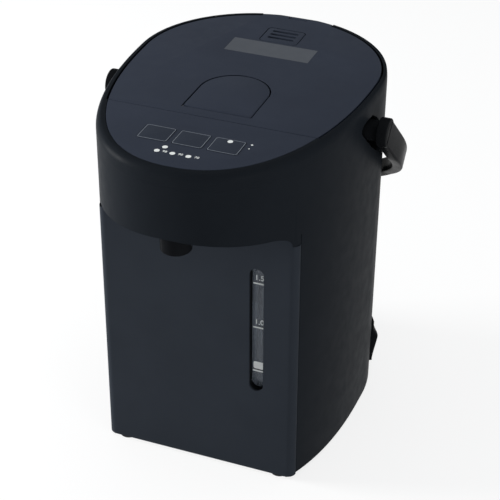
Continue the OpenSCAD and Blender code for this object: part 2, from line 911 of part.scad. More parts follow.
module lid_cover() {
    boss_z = lever_pin_z - 2.6;
    color([0.17, 0.18, 0.2])
    difference() {
        union() {
            difference() {
                slab(lid_z0, total_h) lid_plan(0);
                slab(lid_z0 - cut, lid_inside_top) lid_plan(lid_wall);
                slab(0, total_h + cut) half_plane(hinge_y - tail_len / 2, 1);
            }
            intersection() {
                slab(lid_z0, total_h) lid_plan(0);
                slab(0, total_h) half_plane(hinge_y - tail_len / 2 - cut, 1);
                slab(0, total_h) half_plane(hinge_y, -1);
            }
            lid_tail();
            for (sx = [-1, 1], p = lid_boss_places)
                translate([sx * p[0], p[1], lid_base_top])
                    cylinder(r = lid_boss_r, h = lid_inside_top - lid_base_top + 0.5, $fn = 32);
            for (s = [-1, 1])
                translate([s * (lever_hw + lever_gap + lever_boss_w / 2) - lever_boss_w / 2, lever_pin_y - 3, boss_z])
                    cube([lever_boss_w, 6, lid_inside_top - boss_z + 0.5]);
        }
        slab(lid_inside_top - cut, total_h + cut) lever_plan(lever_gap);
        slab(lid_inside_top - cut, total_h + cut)
            vent_plan(vent_gap);
        slab(total_h - label_t, total_h + cut)
            translate([0, label_y]) square([label_w + 2 * label_gap, label_d + 2 * label_gap], center = true);
        translate([-knuckle_hw - knuckle_side, hinge_y - lid_barrel_r - notch_side, lid_z0 - cut])
            cube([2 * (knuckle_hw + knuckle_side), body_d, total_h]);
        x_cylinder(hinge_pin_r + run_gap, -hinge_pin_hl - 0.1, hinge_pin_hl + 0.1, hinge_y, hinge_z);
        x_cylinder(lever_pin_r, -lever_hw - lever_gap - lever_boss_w + 0.5,
            lever_hw + lever_gap + lever_boss_w - 0.5, lever_pin_y, lever_pin_z);
        for (s = [-1, 1])
            translate([s * bolt_x - bolt_w / 2 - 0.2, lid_front_y - cut, latch_z - 0.1])
                cube([bolt_w + 0.4, lid_wall + 2 * cut, latch_t + 0.3]);
    }
}

module lid_base() {
    color([0.75, 0.75, 0.74])
    difference() {
        union() {
            slab(lid_z0, lid_base_top) lid_plan(lid_wall + 0.15);
            translate([0, container_y, plug_bottom]) cylinder(r = plug_r, h = plug_depth + 0.5, $fn = 96);
        }
        translate([0, container_y, plug_bottom + plug_wall])
            cylinder(r = plug_r - plug_wall, h = total_h, $fn = 96);
        translate([0, container_y, 0])
            ring_solid(gasket_in + gasket_w, gasket_in, lid_z0 - cut, lid_z0 + gasket_t);
        slab(lid_z0 - cut, total_h) half_plane(hinge_y - tail_len / 2 - cut - 0.3, 1);
        translate([0, container_y, plug_bottom - cut]) cylinder(r = 6, h = plug_wall + 2 * cut);
    }
}

module lid_inner_plate() {
    plate_r = plug_r + 0.2 + inner_plate_t;
    skirt_h = 12;
    color([0.8, 0.8, 0.82])
    translate([0, container_y, plug_bottom - inner_plate_t])
    difference() {
        cylinder(r = plate_r, h = skirt_h, $fn = 96);
        translate([0, 0, inner_plate_t]) cylinder(r = plug_r + 0.2, h = skirt_h, $fn = 96);
        for (a = [0 : 60 : 300])
            rotate([0, 0, a]) translate([10, 0, -cut]) cylinder(r = 2, h = 3 * cut, $fn = 32);
    }
}

module lid_gasket() {
    color([0.85, 0.85, 0.82])
    translate([0, container_y, 0])
        ring_solid(gasket_in + gasket_w, gasket_in, lid_z0 - 0.1, lid_z0 + gasket_t);
}

module lid_lever() {
    color([0.15, 0.16, 0.18])
    difference() {
        union() {
            slab(total_h - lever_t, total_h) lever_plan(0);
            x_cylinder(lever_nose_r, -lever_hw, lever_hw, lever_pin_y, lever_pin_z);
            for (s = [-1, 1])
                translate([s * lug_x - lug_w / 2, lever_pin_y - lug_t / 2, latch_z + 0.2])
                    cube([lug_w, lug_t, lever_pin_z - latch_z - 0.2]);
        }
        x_cylinder(lever_pin_r + run_gap, -lever_hw - cut, lever_hw + cut, lever_pin_y, lever_pin_z);
        x_cylinder(lever_pin_r + spring_t + fit, -spring_hw - fit, spring_hw + fit, lever_pin_y, lever_pin_z);
    }
}

module lever_pin() {
    color([0.75, 0.75, 0.77])
    x_cylinder(lever_pin_r, -lever_hw - lever_gap - lever_boss_w + 0.5,
        lever_hw + lever_gap + lever_boss_w - 0.5, lever_pin_y, lever_pin_z);
}

module lever_spring() {
    turns = 6;
    pitch = 2 * spring_hw / turns;
    groove = 0.3;
    color([0.6, 0.6, 0.62])
    difference() {
        x_cylinder(lever_pin_r + spring_t, -spring_hw, spring_hw, lever_pin_y, lever_pin_z);
        x_cylinder(lever_pin_r, -spring_hw - cut, spring_hw + cut, lever_pin_y, lever_pin_z);
        for (i = [1 : turns - 1])
            difference() {
                x_cylinder(lever_pin_r + 2 * spring_t, -spring_hw + i * pitch - groove / 2,
                    -spring_hw + i * pitch + groove / 2, lever_pin_y, lever_pin_z);
                x_cylinder(lever_pin_r + spring_t - groove, -spring_hw - cut, spring_hw + cut,
                    lever_pin_y, lever_pin_z);
            }
    }
}

module lid_latch() {
    slot = lug_t + 2 * latch_gap;
    rear_y0 = lever_pin_y + 10;
    color([0.8, 0.8, 0.78])
    difference() {
        union() {
            translate([-latch_hw, lid_front_y + lid_wall + 2, latch_z])
                cube([2 * latch_hw, rear_y0 - lid_front_y - lid_wall - 2, latch_t]);
            for (s = [-1, 1])
                translate([s * bolt_x - bolt_w / 2, lid_front_y + bolt_set, latch_z])
                    cube([bolt_w, lid_wall + 3 - bolt_set, latch_t]);
        }
        for (s = [-1, 1])
            translate([s * lug_x - lug_w / 2 - 0.2, lever_pin_y - slot / 2, latch_z - cut])
                cube([lug_w + 0.4, slot, latch_t + 2 * cut]);
    }
}

module vent_plan(grow) {
    translate([0, vent_y]) rounded_rect(vent_w + 2 * grow, vent_d + 2 * grow, vent_r + grow);
}

module steam_vent_cover() {
    color([0.13, 0.14, 0.15])
    difference() {
        slab(total_h - vent_t, total_h) vent_plan(0);
        for (k = [-1 : 1])
            translate([-slot_w / 2, vent_y + slot_back + k * slot_pitch - slot_d / 2, total_h - vent_t - cut])
                cube([slot_w, slot_d, vent_t + 2 * cut]);
    }
}

module steam_duct() {
    duct_w = slot_w + 2 * duct_wall;
    duct_front = vent_y - duct_reach;
    duct_rear = vent_y + vent_d / 2 - duct_wall;
    duct_z = lid_base_top;
    color([0.7, 0.7, 0.7])
    difference() {
        translate([-duct_w / 2, duct_front, duct_z])
            cube([duct_w, duct_rear - duct_front, total_h - vent_t - duct_z]);
        translate([-duct_w / 2 + duct_wall, duct_front + duct_wall, duct_z + duct_wall])
            cube([duct_w - 2 * duct_wall, duct_rear - duct_front - 2 * duct_wall, total_h]);
        translate([0, duct_front + duct_hole_in, duct_z - cut]) cylinder(r = duct_hole_r, h = 3 * cut);
        translate([-duct_w, duct_front - cut, lid_inside_top - 0.1])
            cube([2 * duct_w, vent_y - vent_d / 2 - duct_front + cut, 2 * cut + lid_wall]);
    }
}

module lid_label_plate() {
    color([0.3, 0.31, 0.33])
    translate([-label_w / 2, label_y - label_d / 2, total_h - label_t])
        cube([label_w, label_d, label_t]);
}

module lid_hinge_pin() {
    color([0.75, 0.75, 0.77])
    x_cylinder(hinge_pin_r, -hinge_pin_hl, hinge_pin_hl, hinge_y, hinge_z);
}

// ---------- carry handle ----------

// One edge of the grip in the handle's own plane, from one arm round to the other
function grip_line(hw, reach, turn) = [
    for (i = [0 : grip_steps])
        let (a = 180 * (turn > 0 ? i : grip_steps - i) / grip_steps)
        [hw * spow(cos(a), 2 / grip_power), arm_straight + (reach - arm_straight) * spow(sin(a), 2 / grip_power)]
];

module handle_band() {
    translate([0, pivot_y, pivot_z])
        rotate([-fold_angle, 0, 0])
            translate([0, 0, -band_w / 2])
                linear_extrude(band_w)
                    polygon(concat([[arm_out, 0]], grip_line(arm_out, reach_out, 1), [[-arm_out, 0], [-arm_in, 0]],
                        grip_line(arm_in, reach_in, -1), [[arm_in, 0]]));
}

module handle() {
    color([0.05, 0.05, 0.055])
    difference() {
        union() {
            handle_band();
            both_sides() {
                x_cylinder(arm_end_r, arm_in + arm_end_step, arm_out - arm_end_step, pivot_y, pivot_z);
                x_cylinder(pivot_hub_r, socket_floor + fit, arm_in + cut, pivot_y, pivot_z);
            }
        }
        both_sides() {
            x_cylinder(handle_pin_r + run_gap, socket_floor - cut, arm_out + cut, pivot_y, pivot_z);
            x_cylinder(pin_head_r + fit, arm_out - pin_head_t - fit, body_w, pivot_y, pivot_z);
        }
    }
}

module handle_pins() {
    color([0.08, 0.08, 0.09])
    both_sides() {
        x_cylinder(handle_pin_r, socket_floor - socket_wall, arm_out - 0.2, pivot_y, pivot_z);
        x_cylinder(pin_head_r, arm_out - pin_head_t, arm_out - 0.2, pivot_y, pivot_z);
    }
}

module handle_sockets() {
    color([0.04, 0.04, 0.045])
    both_sides()
        intersection() {
            difference() {
                side_slab(socket_floor - socket_wall, body_hw) pocket_plan(pocket_grow);
                side_slab(socket_floor, body_hw + cut) pocket_plan(0);
                x_cylinder(handle_pin_r, 0, body_hw, pivot_y, pivot_z);
            }
            slab(0, ring_z0) polygon(body_oval(wall, oval_steps));
        }
}

// ---------- water path ----------

module nozzle() {
    color([0.06, 0.06, 0.065])
    translate([0, nozzle_y, 0])
    difference() {
        union() {
            translate([0, 0, nozzle_tip_z]) cylinder(r = nozzle_r, h = ceiling_z - nozzle_tip_z);
            translate([0, 0, ceiling_z - cut]) cylinder(r = spigot_r, h = nozzle_top_z - ceiling_z + cut);
        }
        translate([0, 0, nozzle_tip_z - cut]) cylinder(r = spigot_r, h = nozzle_bore + cut);
        translate([0, 0, nozzle_tip_z]) cylinder(r = tube_bore, h = total_h);
    }
}

module spout_pipe() {
    path = [[gauge_x, tube_y, tube_z1 + valve_h], [gauge_x, tube_y, pipe_top_z], [0, tube_y, pipe_top_z],
        [0, nozzle_y, pipe_top_z], [0, nozzle_y, nozzle_top_z]];
    color([0.85, 0.85, 0.83])
    difference() {
        route(path, pipe_r, true);
        route(path, tube_bore, true, cut);
    }
}

module tip_over_valve() {
    color([0.88, 0.88, 0.86])
    translate([gauge_x, tube_y, tube_z1])
    difference() {
        cylinder(r = valve_r, h = valve_h);
        translate([0, 0, valve_floor]) cylinder(r = valve_bore, h = valve_h - valve_floor - 2);
        translate([0, 0, -cut]) cylinder(r = tube_bore, h = valve_h + 2 * cut, $fn = 32);
    }
}

module valve_ball() {
    color([0.7, 0.7, 0.72])
    translate([gauge_x, tube_y, tube_z1 + ball_seat_z]) sphere(ball_r);
}

module gauge_tube() {
    color([0.85, 0.9, 0.92, 0.5])
    translate([gauge_x, tube_y, 0]) ring_solid(tube_r, tube_bore, tube_z0, tube_z1);
}

// Puts a plan drawn in (X, Z) about the middle of the gauge between two depths behind the front face
module gauge_slab(y0, y1) {
    translate([gauge_x, panel_y + y0, gauge_z + gauge_h / 2])
        rotate([-90, 0, 0])
            linear_extrude(y1 - y0)
                children();
}

module gauge_bezel() {
    color([0.05, 0.05, 0.055])
    difference() {
        gauge_slab(panel_t, gauge_depth)
            rounded_rect(gauge_w + 2 * bezel_t, gauge_h + 2 * bezel_t, gauge_r + bezel_t);
        gauge_slab(0, gauge_depth + cut)
            rounded_rect(gauge_w, gauge_h, gauge_r);
    }
}

module gauge_window() {
    color([0.75, 0.78, 0.8, 0.5])
    gauge_slab(gauge_depth, gauge_depth + window_t)
        rounded_rect(gauge_w + 2 * bezel_t, gauge_h + 2 * bezel_t, gauge_r + bezel_t);
}

module gauge_scale_plate() {
    side_y = gauge_depth + window_t;
    back_y = side_y + 2 * (tube_gap + tube_r);
    plate_w = gauge_w + 2 * bezel_t;
    plate_h = gauge_h - gauge_r;
    color([0.55, 0.56, 0.58])
    difference() {
        gauge_slab(side_y, back_y + scale_t) square([plate_w, plate_h], center = true);
        gauge_slab(side_y - cut, back_y) square([plate_w - 2 * scale_t, plate_h + 2 * cut], center = true);
    }
}

module delivery_hose() {
    path = [[pump_x, pump_y - pump_r - nipple, outlet_z], [pump_x, hose_front_y, outlet_z],
        [gauge_x, hose_front_y, outlet_z], [gauge_x, hose_front_y, tube_z0]];
    color([0.9, 0.9, 0.88])
    difference() {
        route(path, pipe_r, true);
        route(path, tube_bore, true, cut);
    }
}

// ---------- pump ----------

module at_pump() {
    translate([pump_x, pump_y, 0]) children();
}

module pump_casing() {
    color([0.85, 0.84, 0.8])
    at_pump()
    difference() {
        union() {
            translate([0, 0, casing_z]) cylinder(r = pump_r, h = casing_top - casing_z);
            translate([0, 0, casing_z]) cylinder(r = pipe_r, h = container_bottom - casing_z);
            translate([0, 0, outlet_z])
                rotate([90, 0, 0]) cylinder(r = pipe_r - 0.8, h = pump_r + nipple, $fn = 32);
        }
        translate([0, 0, casing_z + casing_t]) cylinder(r = pump_r - 2, h = chamber_h);
        translate([0, 0, casing_z + casing_t]) cylinder(r = tube_bore, h = total_h, $fn = 32);
        translate([0, 0, outlet_z]) rotate([90, 0, 0]) cylinder(r = tube_bore, h = body_d, $fn = 32);
        translate([0, 0, casing_z - cut]) cylinder(r = impeller_pin_r, h = casing_t + 2 * cut, $fn = 32);
    }
}

module impeller_pin() {
    color([0.75, 0.75, 0.77])
    at_pump()
        translate([0, 0, casing_z]) cylinder(r = impeller_pin_r, h = casing_t + chamber_h - 1.5, $fn = 32);
}

module pump_impeller() {
    vanes = 6;
    z0 = casing_z + casing_t + 0.5;
    color([0.2, 0.2, 0.22])
    at_pump()
    difference() {
        union() {
            translate([0, 0, z0]) cylinder(r = impeller_r, h = 3.5);
            translate([0, 0, z0]) cylinder(r = 4, h = chamber_h - 2);
            for (i = [0 : vanes - 1])
                rotate([0, 0, 360 * i / vanes])
                    translate([2.5, -0.6, z0]) cube([impeller_r - 3.5, 1.2, chamber_h - 3]);
        }
        translate([0, 0, z0 - cut]) cylinder(r = impeller_pin_r + run_gap, h = chamber_h + cut, $fn = 32);
    }
}

module motor_rotor() {
    color([0.5, 0.5, 0.52])
    at_pump() {
        translate([0, 0, motor_z + 1.5]) cylinder(r = shaft_r, h = magnet_z + magnet_t - motor_z - 1.5, $fn = 32);
        translate([0, 0, magnet_z]) cylinder(r = magnet_r, h = magnet_t);
    }
}

module pump_motor() {
    color([0.65, 0.65, 0.67])
    at_pump()
    difference() {
        translate([0, 0, motor_z]) cylinder(r = motor_r, h = motor_h);
        translate([0, 0, motor_z + 1]) cylinder(r = shaft_r + run_gap, h = motor_h, $fn = 32);
    }
}

module motor_bracket() {
    leg_ring = pump_r - 3.2;
    leg_r = 2.8;
    color([0.45, 0.46, 0.48])
    at_pump() {
        ring_solid(motor_r + 5, motor_r, motor_z - 1.5, motor_z + 2);
        for (a = [45 : 90 : 315])
            translate([leg_ring * cos(a), leg_ring * sin(a), base_top])
                cylinder(r = leg_r, h = casing_z - base_top, $fn = 32);
        ring_solid(motor_r + 0.5, 4, base_top, motor_z);
    }
}

// ---------- container and heating ----------

module inner_container() {
    color([0.78, 0.78, 0.8])
    difference() {
        union() {
            translate([0, container_y, container_bottom])
                cylinder(r = container_r + steel_t, h = container_top - container_bottom, $fn = 128);
            translate([0, container_y, container_top - steel_t])
                cylinder(r = flange_r, h = steel_t, $fn = 128);
        }
        translate([0, container_y, container_z])
            cylinder(r = container_r, h = total_h, $fn = 128);
        translate([pump_x, pump_y, 0]) cylinder(r = tube_bore, h = total_h / 2, $fn = 32);
    }
}

module container_gasket() {
    color([0.82, 0.82, 0.8])
    translate([0, container_y, 0]) ring_solid(flange_r, mouth_r, container_top, ring_z0);
}

module insulation_jacket() {
    color([0.8, 0.79, 0.72])
    translate([0, container_y, 0])
        ring_solid(container_r + steel_t + jacket_t, container_r + steel_t, jacket_z0, jacket_z1);
}

module base_heater() {
    color([0.7, 0.66, 0.6])
    difference() {
        translate([0, container_y, 0])
            ring_solid(heater_out, heater_in, container_bottom - heater_t, container_bottom);
        translate([pump_x, pump_y, 0]) cylinder(r = pipe_r + 1, h = total_h, $fn = 32);
    }
}

module temperature_sensor() {
    color([0.72, 0.72, 0.74])
    translate([0, container_y, container_bottom]) mirror([0, 0, 1]) {
        cylinder(r = 7, h = 2);
        cylinder(r = 4.5, h = 9, $fn = 32);
    }
}

module container_posts() {
    color([0.55, 0.56, 0.58])
    for (p = post_places())
        translate([p[0], p[1], base_top])
            difference() {
                cylinder(r = post_r, h = container_bottom - base_top);
                translate([0, 0, -cut]) cylinder(r = screw_r, h = shell_z0 + screw_len - base_top + cut, $fn = 32);
            }
}

// ---------- electrics ----------

module inlet_housing() {
    nose = [[-wall, 0], [0, 0], [inlet_out, inlet_h * 0.62], [inlet_out, inlet_h * 0.72], [0, inlet_h], [-wall, inlet_h]];
    color([0.06, 0.06, 0.065])
    inlet_frame()
    difference() {
        union() {
            translate([-inlet_deep, -inlet_w / 2, inlet_z]) cube([inlet_deep - wall + 0.1, inlet_w, inlet_h]);
            translate([0, inlet_w / 2, inlet_z])
                rotate([90, 0, 0])
                    linear_extrude(inlet_w)
                        polygon(nose);
            intersection() {
                translate([-inlet_lip_deep, -inlet_w / 2 - inlet_lip, inlet_z - inlet_lip])
                    cube([inlet_lip_deep, inlet_w + 2 * inlet_lip, inlet_h + 2 * inlet_lip]);
                rotate([0, 0, -inlet_angle])
                    translate([-inlet_x, -inlet_y, 0])
                        slab(0, total_h) polygon(body_oval(wall, oval_steps));
            }
        }
        translate([-inlet_deep + inlet_floor_t, -recess_w / 2, recess_z - recess_h / 2])
            cube([inlet_deep + inlet_out, recess_w, recess_h]);
        for (s = [-1, 1])
            translate([-inlet_deep - cut, s * inlet_pin_x, recess_z])
                rotate([0, 90, 0]) cylinder(r = inlet_pin_r, h = inlet_floor_t + 2 * cut, $fn = 32);
    }
}

module inlet_pins() {
    color([0.78, 0.7, 0.45])
    inlet_frame()
        for (s = [-1, 1])
            translate([-inlet_deep - 3, s * inlet_pin_x, recess_z])
                rotate([0, 90, 0]) cylinder(r = inlet_pin_r, h = 3 + inlet_floor_t + inlet_pin_len, $fn = 32);
}

function standoffs() = [for (sx = [-1, 1], sy = [-1, 1])
    [power_x + sx * (power_w / 2 - 5), power_y + sy * (power_d / 2 - 5)]];

module power_board() {
    color([0.1, 0.33, 0.18])
    union() {
        translate([power_x - power_w / 2, power_y - power_d / 2, power_z])
            cube([power_w, power_d, board_t]);
        for (p = standoffs())
            translate([p[0], p[1], base_top]) cylinder(r = standoff_r, h = power_z - base_top, $fn = 32);
    }
}

module board_parts() {
    z = power_z + board_t;
    color([0.25, 0.25, 0.28])
    translate([power_x, power_y, z]) {
        for (b = board_blocks)
            translate([b[0], b[1], 0]) cube([b[2], b[3], b[4]]);
        for (c = board_cans)
            translate([c[0], c[1], 0]) cylinder(r = c[2], h = c[3], $fn = 32);
    }
}

module wiring_harness() {
    z = power_z + board_t;
    c = cos(inlet_angle);
    s = sin(inlet_angle);
    back = inlet_deep + 3;
    color([0.7, 0.15, 0.12])
    for (k = [-1, 1]) {
        start = [inlet_x - back * c - k * inlet_pin_x * s, inlet_y - back * s + k * inlet_pin_x * c, recess_z];
        knee = start - wire_lead * [c, s, 0];
        end_x = power_x + terminal_x - k * wire_pitch / 2;
        end_y = power_y + terminal_y;
        route([start, knee, [knee[0], knee[1], z + wire_rise], [end_x, end_y, z + wire_rise], [end_x, end_y, z]],
            wire_r);
    }
}

body_shell();
front_panel();
head_underside();
shoulder_ring();
control_panel();
keep_warm_button();
dispense_button();
unlock_button();
indicator_lenses();
control_board();
tact_switches();
lock_lens();
lid_cover();
lid_base();
lid_inner_plate();
lid_gasket();
lid_lever();
lever_pin();
lever_spring();
lid_latch();
steam_vent_cover();
steam_duct();
lid_label_plate();
lid_hinge_pin();
handle();
handle_pins();
handle_sockets();
nozzle();
spout_pipe();
tip_over_valve();
valve_ball();
gauge_tube();
gauge_bezel();
gauge_window();
gauge_scale_plate();
delivery_hose();
pump_casing();
pump_impeller();
impeller_pin();
pump_motor();
motor_rotor();
motor_bracket();
inner_container();
container_gasket();
insulation_jacket();
base_heater();
temperature_sensor();
container_posts();
base_plate();
base_screws();
rubber_feet();
inlet_housing();
inlet_pins();
power_board();
board_parts();
wiring_harness();
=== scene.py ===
# %% [markdown]
# # An electric thermo pot, dressed for its portrait
# The solids of the pot come from its construction files. This lesson gives them their looks: it rebuilds the
# outer skins with soft moulded edges and gives every piece a procedural finish.
# Lengths are written in millimetres and turned into metres when a mesh is made. +Z is up and the dispensing
# side faces -Y.

# %% Load the frame
import bpy
import bmesh
import json
import math
from mathutils import Matrix, Vector

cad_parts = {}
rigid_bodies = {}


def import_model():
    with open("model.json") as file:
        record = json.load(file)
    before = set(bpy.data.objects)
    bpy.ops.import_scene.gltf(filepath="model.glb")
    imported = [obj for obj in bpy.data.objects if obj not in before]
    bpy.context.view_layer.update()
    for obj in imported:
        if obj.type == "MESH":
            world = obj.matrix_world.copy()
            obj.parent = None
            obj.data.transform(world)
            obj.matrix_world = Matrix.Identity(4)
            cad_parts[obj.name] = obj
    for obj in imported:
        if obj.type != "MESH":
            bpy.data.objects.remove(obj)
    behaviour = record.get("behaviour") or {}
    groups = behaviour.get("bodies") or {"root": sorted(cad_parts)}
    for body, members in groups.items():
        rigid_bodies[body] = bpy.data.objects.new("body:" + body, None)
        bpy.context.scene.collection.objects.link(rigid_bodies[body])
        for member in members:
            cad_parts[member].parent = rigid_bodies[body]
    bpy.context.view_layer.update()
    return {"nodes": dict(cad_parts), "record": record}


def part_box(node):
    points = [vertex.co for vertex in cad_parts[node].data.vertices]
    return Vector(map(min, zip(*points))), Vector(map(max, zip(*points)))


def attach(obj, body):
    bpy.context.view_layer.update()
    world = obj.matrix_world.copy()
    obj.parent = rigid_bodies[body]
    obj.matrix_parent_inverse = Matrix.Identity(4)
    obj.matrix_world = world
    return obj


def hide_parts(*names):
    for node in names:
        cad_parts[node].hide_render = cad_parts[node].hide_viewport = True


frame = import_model()
nodes = frame["nodes"]
mm = 0.001
print("solids loaded:", len(nodes))

# %% [markdown]
# ## The main sizes
# The skins have to sit exactly on the solids, so the script first reads the boxes of the shell and of the
# ring that closes it. What a box can't tell, such as a wall or a corner radius, is a named value where it is
# first needed.

# %% Sizes in millimetres
def limits(node):
    """The lower and the upper corner of a solid's box."""
    low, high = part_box(node)
    return low / mm, high / mm


shell_low, shell_high = limits("body_shell")
ring_low, ring_high = limits("shoulder_ring")
front_y, rear_y, body_hw = shell_low.y, shell_high.y, shell_high.x
shell_z0, ring_z0, total_h = shell_low.z, ring_low.z, ring_high.z
widest_back = 167
wide_y = front_y + widest_back
print("outline", round(front_y, 2), round(rear_y, 2), "half width", round(body_hw, 2))

# %% [markdown]
# ## Ovals
# Seen from above, the body, its flat top and the lid are ovals with a squarer front. They could be drawn by
# hand as curves, but a superellipse, an ellipse with a power that makes it squarer, needs only a few sizes.
# Two of them stand back to back here, and points close together keep the long curves smooth under soft light.

# %% Ovals of the body, the top and the lid
front_power, top_power = 2.33, 2.25
top_hw, top_wide_y = 92.4, wide_y + 3.5
top_front, top_rear = front_y + 5.3, rear_y - 1.4
rim_w, rim_front = 3.65, 0.6


def spow(v, p):
    """A power that keeps the sign of its base."""
    return math.copysign(abs(v) ** p, v)


def oval(half_width, wide, front, rear, low_power, high_power, steps=240):
    points = []
    for i in range(steps):
        a = 2 * math.pi * (i + 0.5) / steps
        c, s = math.cos(a), math.sin(a)
        p = low_power if s < 0 else high_power
        depth = wide - front if s < 0 else rear - wide
        points.append((half_width * spow(c, 2 / p), wide + depth * spow(s, 2 / p)))
    return points


def body_oval(inset):
    return oval(body_hw - inset, wide_y, front_y + inset, rear_y - inset, front_power, 2)


def top_oval(inset):
    return oval(top_hw - inset, top_wide_y, top_front + inset, top_rear - inset, top_power, 2)


def lid_oval(inset):
    return oval(top_hw - rim_w - inset, top_wide_y, top_front + rim_front + inset, top_rear - rim_w - inset,
                top_power, 2)


def side_x(inset, y):
    """Half the body's width at a place in front of its widest."""
    depth = wide_y - front_y - inset
    return (body_hw - inset) * (1 - ((wide_y - y) / depth) ** front_power) ** (1 / front_power)


print("points of the body's outline:", len(body_oval(0)))

# %% [markdown]
# ## Straight cuts and round corners
# The lid and the control face share one oval that is cut at the seam between them, and keys, slots and plates
# are rectangles with arcs for corners. Bevels could round them later. Outlines that stay lists of points can
# be cut, rounded and moved in by short loops, before any mesh exists.

# %% Outline helpers
def clipped(outline, y, side):
    """The part of a closed outline behind (side 1) or in front (side -1) of the line at y."""
    kept = []
    for a, b in zip(outline, outline[1:] + outline[:1]):
        if (a[1] - y) * side >= 0:
            kept.append(a)
        if (a[1] - y) * (b[1] - y) < 0:
            t = (y - a[1]) / (b[1] - a[1])
            kept.append((a[0] + t * (b[0] - a[0]), y))
    return kept


def arc(cx, cy, r, start, end, steps=8):
    turns = [math.radians(start + (end - start) * i / steps) for i in range(steps + 1)]
    return [(cx + r * math.cos(a), cy + r * math.sin(a)) for a in turns]


def rounded_rect(w, d, r, cx=0, cy=0, steps=6):
    x, y = w / 2 - r, d / 2 - r
    return (arc(cx + x, cy - y, r, -90, 0, steps) + arc(cx + x, cy + y, r, 0, 90, steps)
            + arc(cx - x, cy + y, r, 90, 180, steps) + arc(cx - x, cy - y, r, 180, 270, steps))


def softened(corners, r, steps=4):
    """A polygon, given anticlockwise, with its corners turned into arcs."""
    points = []
    for i, corner in enumerate(corners):
        p = Vector(corner)
        u = (Vector(corners[i - 1]) - p).normalized()
        v = (Vector(corners[(i + 1) % len(corners)]) - p).normalized()
        half = u.angle(v) / 2
        middle = p + (u + v).normalized() * (r / math.sin(half))
        out = -(u + v)
        facing = math.degrees(math.atan2(out.y, out.x))
        spread = 90 - math.degrees(half)
        turn = 1 if u.cross(v) < 0 else -1
        points += arc(middle.x, middle.y, r, facing - turn * spread, facing + turn * spread, steps)
    return points


def moved_in(outline, d):
    """Each point moved inwards by d, across the mean of its two edges."""
    points = []
    for i, point in enumerate(outline):
        before = (Vector(point) - Vector(outline[i - 1])).normalized()
        after = (Vector(outline[(i + 1) % len(outline)]) - Vector(point)).normalized()
        across = Vector((-before.y - after.y, before.x + after.x)).normalized()
        lean = max(0.5, across.dot(Vector((-before.y, before.x))))
        points.append(tuple(Vector(point) + across * (d / lean)))
    return points


print("points of a rounded rectangle:", len(rounded_rect(20, 10, 2)))

# %% [markdown]
# ## Skins
# Most parts of a moulded pot are plates or shells with a rounded rim. A bevelled box could stand in for them,
# but rings of points give each rim its own radius. One helper skins rings, one makes a slab with rounded
# upper and lower edges, and one turns a profile about an axis, as a lathe does.

# %% Mesh helpers
def in_scene(name, data):
    obj = bpy.data.objects.new(name, data)
    bpy.context.collection.objects.link(obj)
    return obj


def mesh_piece(name, points, faces):
    mesh = bpy.data.meshes.new(name)
    mesh.from_pydata([Vector(p) * mm for p in points], [], faces)
    work = bmesh.new()
    work.from_mesh(mesh)
    bmesh.ops.remove_doubles(work, verts=work.verts, dist=1e-7)
    bmesh.ops.recalc_face_normals(work, faces=work.faces)
    work.to_mesh(mesh)
    work.free()
    return in_scene(name, mesh)


def band(n, j, k):
    """The faces between ring j and ring k of a skin with n points to a ring."""
    return [(j * n + i, j * n + (i + 1) % n, k * n + (i + 1) % n, k * n + i) for i in range(n)]


def skinned(name, rings):
    """A skin over rings of equally many points, with a cap at each end."""
    n, last = len(rings[0]), len(rings) - 1
    faces = [face for j in range(last) for face in band(n, j, j + 1)]
    faces.append(tuple(reversed(range(n))))
    faces.append(tuple(last * n + i for i in range(n)))
    return mesh_piece(name, [p for ring in rings for p in ring], faces)


def at_height(outline, z):
    return [(x, y, z) for x, y in outline]


def slab(name, outline, z0, z1, top=0.0, bottom=0.0, steps=5):
    """A plate from z0 to z1 whose upper and lower rims are rounded by the radii top and bottom."""
    def ring(inset, z):
        return at_height(moved_in(outline, inset) if inset > 1e-6 else outline, z)

    def turns(radius):
        return [math.pi / 2 * k / steps for k in range(steps + 1 if radius else 1)]

    lower = [ring(bottom * (1 - math.sin(a)), z0 + bottom * (1 - math.cos(a))) for a in turns(bottom)]
    upper = [ring(top * (1 - math.cos(a)), z1 - top * (1 - math.sin(a))) for a in turns(top)]
    return skinned(name, lower + upper)


def turned(name, profile, steps=64):
    """A skin turned about the Z axis from (radius, height) points; a radius of 0 closes it."""
    turns = [2 * math.pi * i / steps for i in range(steps)]
    points = [(r * math.cos(a), r * math.sin(a), z) for r, z in profile for a in turns]
    faces = [face for j in range(len(profile) - 1) for face in band(steps, j, j + 1)]
    return mesh_piece(name, points, faces)


print("faces round a turned piece:", len(band(64, 0, 1)))

# %% [markdown]
# ## Placing, cutting and joining
# Pockets and slots are cut as a milling cutter would, with exact booleans. They could be modelled face by
# face, but a cutter keeps its own size and place. A skin is cut while it is one closed body, and what only
# touches it is joined afterwards. The last helper gives a piece its shading, its body, its finish and its
# solids.

# %% Placing and cutting helpers
# A slab stands upright. These turn its outline to face the front, or the side, or mirror it to the other side.
facing_front = Matrix.Rotation(math.radians(90), 4, "X")
facing_side = Matrix(((0, 0, 1, 0), (1, 0, 0, 0), (0, 1, 0, 0), (0, 0, 0, 1)))
mirror_x = Matrix.Scale(-1, 4, (1, 0, 0))


def at(x, y, z):
    return Matrix.Translation((x, y, z))


def moved(obj, matrix):
    """Moves the points of a mesh by a matrix given in millimetres."""
    there = matrix.copy()
    there.translation = matrix.translation * mm
    obj.data.transform(there)
    if matrix.determinant() < 0:
        obj.data.flip_normals()
    return obj


def prism_along_x(outline, x0, x1, y=0, z=0):
    """A prism along X from an outline drawn in (Y, Z) about a point."""
    return moved(slab("prism", outline, x0, x1), at(0, y, z) @ facing_side)


